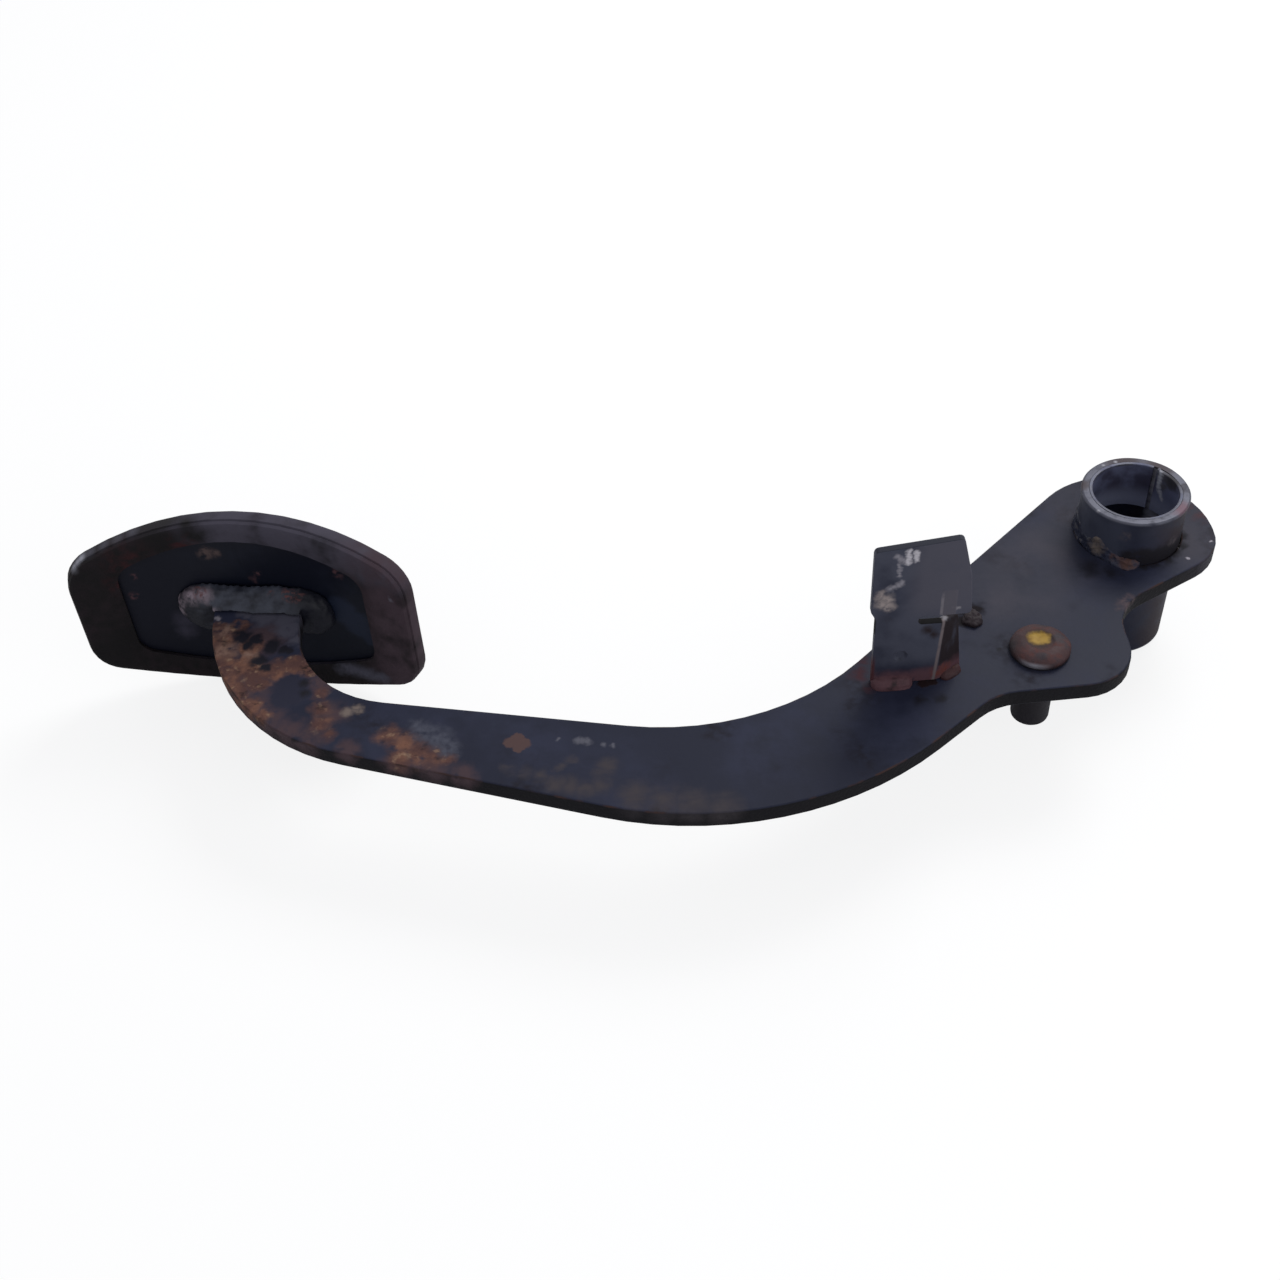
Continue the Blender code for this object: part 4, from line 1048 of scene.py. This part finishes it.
class PEDAL_OT_tube(Operator):
    """Turn the pivot tube, with ends rounded by wear"""

    bl_idname = "pedal.tube"
    bl_label = "Pivot tube"

    def profile(self, sizes):
        """The wall's section, with an extra ring of points where the upper end's flare begins."""
        inner = TUBE_R - sizes.tube_wall
        worn, bored = sizes.tube_edge, sizes.tube_edge * 0.3
        corners = [(TUBE_R, TUBE_HIGH.z, -1, -1, worn * 1.6), (TUBE_R, TUBE_LOW.z, -1, 1, worn),
                   (inner, TUBE_LOW.z, 1, 1, bored), (inner, TUBE_HIGH.z, 1, -1, bored)]
        points = []
        for index, (radius, height, side, rise, edge) in enumerate(corners):
            if index == 1:
                points.append((TUBE_R, TUBE_HIGH.z - FLARE_START))
            turns = [step * pi / 8 for step in range(5)]
            arc = [(radius + side * edge * (1 - sin(t)), height + rise * edge * (1 - cos(t))) for t in turns]
            points += arc if index % 2 == 0 else arc[::-1]
        return points

    def execute(self, context):
        sizes = context.scene.pedal_sizes
        tube = spun("worn_tube", self.profile(sizes), TUBE_STEPS, True)
        for vert in tube.data.vertices:
            if vert.co.z > TUBE_HIGH.z - RIM_DEPTH:
                around = atan2(vert.co.y, vert.co.x)
                if hypot(vert.co.x, vert.co.y) > TUBE_R - sizes.tube_wall / 2:
                    vert.co.x += sizes.tube_flare * cos(around)
                    vert.co.y += sizes.tube_flare * sin(around)
                vert.co.z -= RIM_WAVE * (1 + sin(around * 2 + 0.6)) + RIM_RIPPLE * (1 + sin(around * 7))
        smooth(tube, 40)
        finish_piece(tube, tube_material(context.scene.pedal_colours), "painted_steel", "pivot_tube")
        return {"FINISHED"}


class PEDAL_OT_tube_weld(Operator):
    """Swell the bead beside the tube into the lumps that the welder left"""

    bl_idname = "pedal.tube_weld"
    bl_label = "Tube weld"

    def swell(self, around, plain, lumps):
        """Share by which the bead grows at an angle round the tube: plain, and more at its lumps."""
        grown = [share * exp(-((around - at) / width) ** blunt) for at, width, share, blunt in lumps]
        return sum(grown, plain)

    def execute(self, context):
        sizes = context.scene.pedal_sizes
        bead = bead_body("tube_weld", "lumpy_tube_bead", sizes.weld_voxel, 4)
        for vert in bead.data.vertices:
            x, y, z = vert.co
            radius, around = hypot(x, y), degrees(atan2(y, x)) % 360
            grown = TUBE_R - TUBE_BEAD_SINK + (radius - TUBE_R) * self.swell(around, 0.22, LUMPS_OUT)
            risen = ARM_TOP - TUBE_BEAD_SINK + (z - ARM_TOP) * self.swell(around, 0.5, LUMPS_UP)
            vert.co = (x / radius * grown, y / radius * grown, risen)
        bead.data.update()
        roughen(bead, amount=sizes.weld_lump, size=0.0042, seed=3)
        roughen(bead, amount=sizes.weld_lump * 0.35, size=0.0014, seed=4)
        smooth(bead, 60, weighted=False)
        finish_piece(bead, tube_weld_material(context.scene.pedal_colours), "painted_steel", "tube_weld")
        return {"FINISHED"}


class PEDAL_OT_bushes(Operator):
    """Roll the two bushes, the upper one with its torn edge curled into the bore"""

    bl_idname = "pedal.bushes"
    bl_label = "Pivot bushes"

    def roll(self, name, end, direction, sizes, curl):
        """A split bush that starts at one end of the tube and runs up (direction 1) or down (-1)."""
        outer = TUBE_R - sizes.tube_wall - BUSH_CLEARANCE
        inner = outer - sizes.bush_wall
        lip = sizes.bush_wall * LIP_SHARE
        heights = [end + direction * BUSH_LENGTH * row / BUSH_ROWS for row in range(BUSH_ROWS + 1)]
        profile = [(outer, z) for z in heights] + [(inner, z) for z in heights[:0:-1]]
        profile += [(inner, end + direction * lip), (inner + lip * 0.3, end + direction * lip * 0.3),
                    (inner + lip, end)]
        slit = sizes.bush_slit / outer
        bush = spun(name, profile, BUSH_STEPS, True, start=SLIT_AT + slit / 2, sweep=2 * pi - slit)
        for vert in bush.data.vertices:
            away = (atan2(vert.co.y, vert.co.x) - SLIT_AT + pi) % (2 * pi) - pi
            depth = abs(vert.co.z - end)
            from_slit = max(abs(away) - slit / 2, 0)
            lean = curl * exp(-(from_slit / CURL_SPREAD) ** 2) * exp(-(depth / CURL_DEPTH) ** 2)
            if away < 0:
                radius = hypot(vert.co.x, vert.co.y)
                vert.co.x *= (radius - lean) / radius
                vert.co.y *= (radius - lean) / radius
        smooth(bush, 40)
        return bush

    def execute(self, context):
        sizes = context.scene.pedal_sizes
        lining = bush_material(context.scene.pedal_colours)
        upper = self.roll("rolled_bush_upper", TUBE_HIGH.z - UPPER_INSET, -1, sizes, sizes.bush_curl)
        finish_piece(upper, lining, "bush_lining", "pivot_bush_upper")
        lower = self.roll("rolled_bush_lower", TUBE_LOW.z + LOWER_INSET, 1, sizes, 0.0)
        finish_piece(lower, lining, "bush_lining", "pivot_bush_lower")
        return {"FINISHED"}


class PEDAL_OT_pin(Operator):
    """Turn the pushrod pin, with its domed and dished head"""

    bl_idname = "pedal.pin"
    bl_label = "Pushrod pin"

    def profile(self, sizes):
        """Half the pin's section, from the dish in its head round the dome and down to its rounded end."""
        under, top, end = ARM_TOP + HEAD_GAP, PIN_HIGH.z, PIN_LOW.z
        shank, dish, head = sizes.pin_shank, sizes.pin_dish, PIN_HEAD_R
        floor = top - sizes.pin_dish_depth
        drop = (top - under) * DOME_SHARE
        points = [(0.0, floor), (dish * 0.8, floor), (dish * 0.92, top - sizes.pin_dish_depth * 0.5)]
        points += [(dish + (head - dish) * sin(step * pi / 24), top - drop * (1 - cos(step * pi / 24)))
                   for step in range(13)]
        points += [(head, under + HEAD_RIM), (head * 0.985, under), (shank, under)]
        return points + [(shank * share, end + rise * MM) for share, rise in PIN_END]

    def execute(self, context):
        profile = self.profile(context.scene.pedal_sizes)
        pin = spun("riveted_pin", profile, PIN_STEPS, False, centre=(PIN_X, PIN_Y))
        roughen(pin, amount=0.0002, size=0.0045, seed=2, keep=above(ARM_TOP + 0.0004))
        smooth(pin, 40)
        finish_piece(pin, pin_material(context.scene.pedal_colours), "worn_steel", "pushrod_pin")
        return {"FINISHED"}


class PEDAL_OT_bracket(Operator):
    """Finish the folded switch bracket and its two beads"""

    bl_idname = "pedal.bracket"
    bl_label = "Switch bracket"

    def bead(self, node, name, seed, material, sizes, towards, rise):
        """Rebuild a bead, moved by towards to close on the sheet and with its height scaled by rise."""
        bead = bead_body(node, name, sizes.weld_voxel * 0.8, 4)
        for vert in bead.data.vertices:
            x, y, z = vert.co
            vert.co = (x + towards[0], y + towards[1], ARM_TOP + (z - ARM_TOP) * rise - SHEET_BEAD_SINK)
        bead.data.update()
        roughen(bead, amount=sizes.weld_lump * 0.5, size=0.0040, seed=seed, keep=above(ARM_TOP + 0.0004))
        smooth(bead, 60, weighted=False)
        finish_piece(bead, material, "rusty_weld", node)

    def execute(self, context):
        sizes = context.scene.pedal_sizes
        colours = context.scene.pedal_colours
        bracket = rounded_copy("switch_bracket", "folded_bracket", sizes.sheet_edge, bevel_angle=50,
                               smooth_angle=45)
        finish_piece(bracket, bracket_material(colours), "painted_steel", "switch_bracket")
        metal = weld_material("rusty_bracket_weld", colours, "4f353b", 0.62)
        self.bead("bracket_weld_front", "front_bead", 11, metal, sizes, (0.0, 0.0007), 1.0)
        darker = weld_material("browned_bracket_weld", colours, "351e21", 0.6)
        self.bead("bracket_weld_flange", "flange_bead", 14, darker, sizes, (-0.0005, 0.0005), 0.8)
        return {"FINISHED"}


class PEDAL_OT_pad(Operator):
    """Finish the pad plate, the weld that holds it to the neck and the rubber cover"""

    bl_idname = "pedal.pad"
    bl_label = "Pad"

    def weld(self, sizes):
        """The bead round the neck, tucked in beside it, with a thin toe that laps onto its upper face."""
        bead = bead_body("pad_weld", "neck_bead", sizes.weld_voxel * 1.4, 14)
        middle = NECK_LEFT_EDGE + NECK_W / 2
        for vert in bead.data.vertices:
            across = abs(vert.co.z)
            beside = abs(vert.co.x - middle) - NECK_W / 2
            if across < TUCK_HEIGHT and beside < TUCK_REACH:
                vert.co.z *= 0.85
                vert.co.x = middle + (vert.co.x - middle) * 0.96
            elif beside < 0.0:
                toe = max(0.0, 1.0 - (vert.co.z - ARM_TOP) / TOE_LENGTH) if vert.co.z > 0 else 0.0
                vert.co.y -= TOE_LENGTH * toe
                vert.co.z -= TOE_HEIGHT * toe
        bead.data.update()
        roughen(bead, amount=sizes.weld_lump, size=0.0085, seed=21)
        roughen(bead, amount=sizes.weld_lump * 0.3, size=0.0022, seed=22)
        smooth(bead, 60, weighted=False)
        return bead

    def execute(self, context):
        sizes = context.scene.pedal_sizes
        colours = context.scene.pedal_colours
        plate = merged_copy("pad_plate", "curved_pad_plate")
        smooth(plate, 30)
        finish_piece(plate, plate_material(colours), "pad_steel", "pad_plate")
        cover = rounded_copy("pad_rubber", "ribbed_rubber_cover", sizes.rubber_edge, bevel_angle=60,
                             smooth_angle=40)
        finish_piece(cover, rubber_material(colours), "black_rubber", "pad_rubber")
        finish_piece(self.weld(sizes), pad_weld_material(), "rusty_weld", "pad_weld")
        return {"FINISHED"}


PIECE_OPERATORS = (PEDAL_OT_stage, PEDAL_OT_arm, PEDAL_OT_tube, PEDAL_OT_tube_weld, PEDAL_OT_bushes,
                   PEDAL_OT_pin, PEDAL_OT_bracket, PEDAL_OT_pad)


class PEDAL_PT_tools(Panel):
    """Buttons that model the pedal's pieces, with their sizes and colours"""

    bl_idname = "PEDAL_PT_tools"
    bl_label = "Brake Pedal"
    bl_space_type = "VIEW_3D"
    bl_region_type = "UI"
    bl_category = "Pedal"

    def draw(self, context):
        for operator in PIECE_OPERATORS:
            self.layout.operator(operator.bl_idname)
        for group in (context.scene.pedal_sizes, context.scene.pedal_colours, context.scene.pedal_stage):
            box = self.layout.box()
            for name in group.bl_rna.properties.keys():
                if name not in ("rna_type", "name"):
                    box.prop(group, name)


CLASSES = (PedalSizes, PedalColours, PedalStage, *PIECE_OPERATORS, PEDAL_PT_tools)


def register():
    """Register the classes and hang the settings on the scene."""
    for cls in CLASSES:
        bpy.utils.register_class(cls)
    bpy.types.Scene.pedal_sizes = PointerProperty(type=PedalSizes)
    bpy.types.Scene.pedal_colours = PointerProperty(type=PedalColours)
    bpy.types.Scene.pedal_stage = PointerProperty(type=PedalStage)


def unregister():
    """Take the settings and the classes away again."""
    del bpy.types.Scene.pedal_stage
    del bpy.types.Scene.pedal_colours
    del bpy.types.Scene.pedal_sizes
    for cls in reversed(CLASSES):
        bpy.utils.unregister_class(cls)


def main():
    """Register the add-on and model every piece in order."""
    register()
    bpy.ops.pedal.stage()
    bpy.ops.pedal.arm()
    bpy.ops.pedal.tube()
    bpy.ops.pedal.tube_weld()
    bpy.ops.pedal.bushes()
    bpy.ops.pedal.pin()
    bpy.ops.pedal.bracket()
    bpy.ops.pedal.pad()


if __name__ == "__main__":
    main()
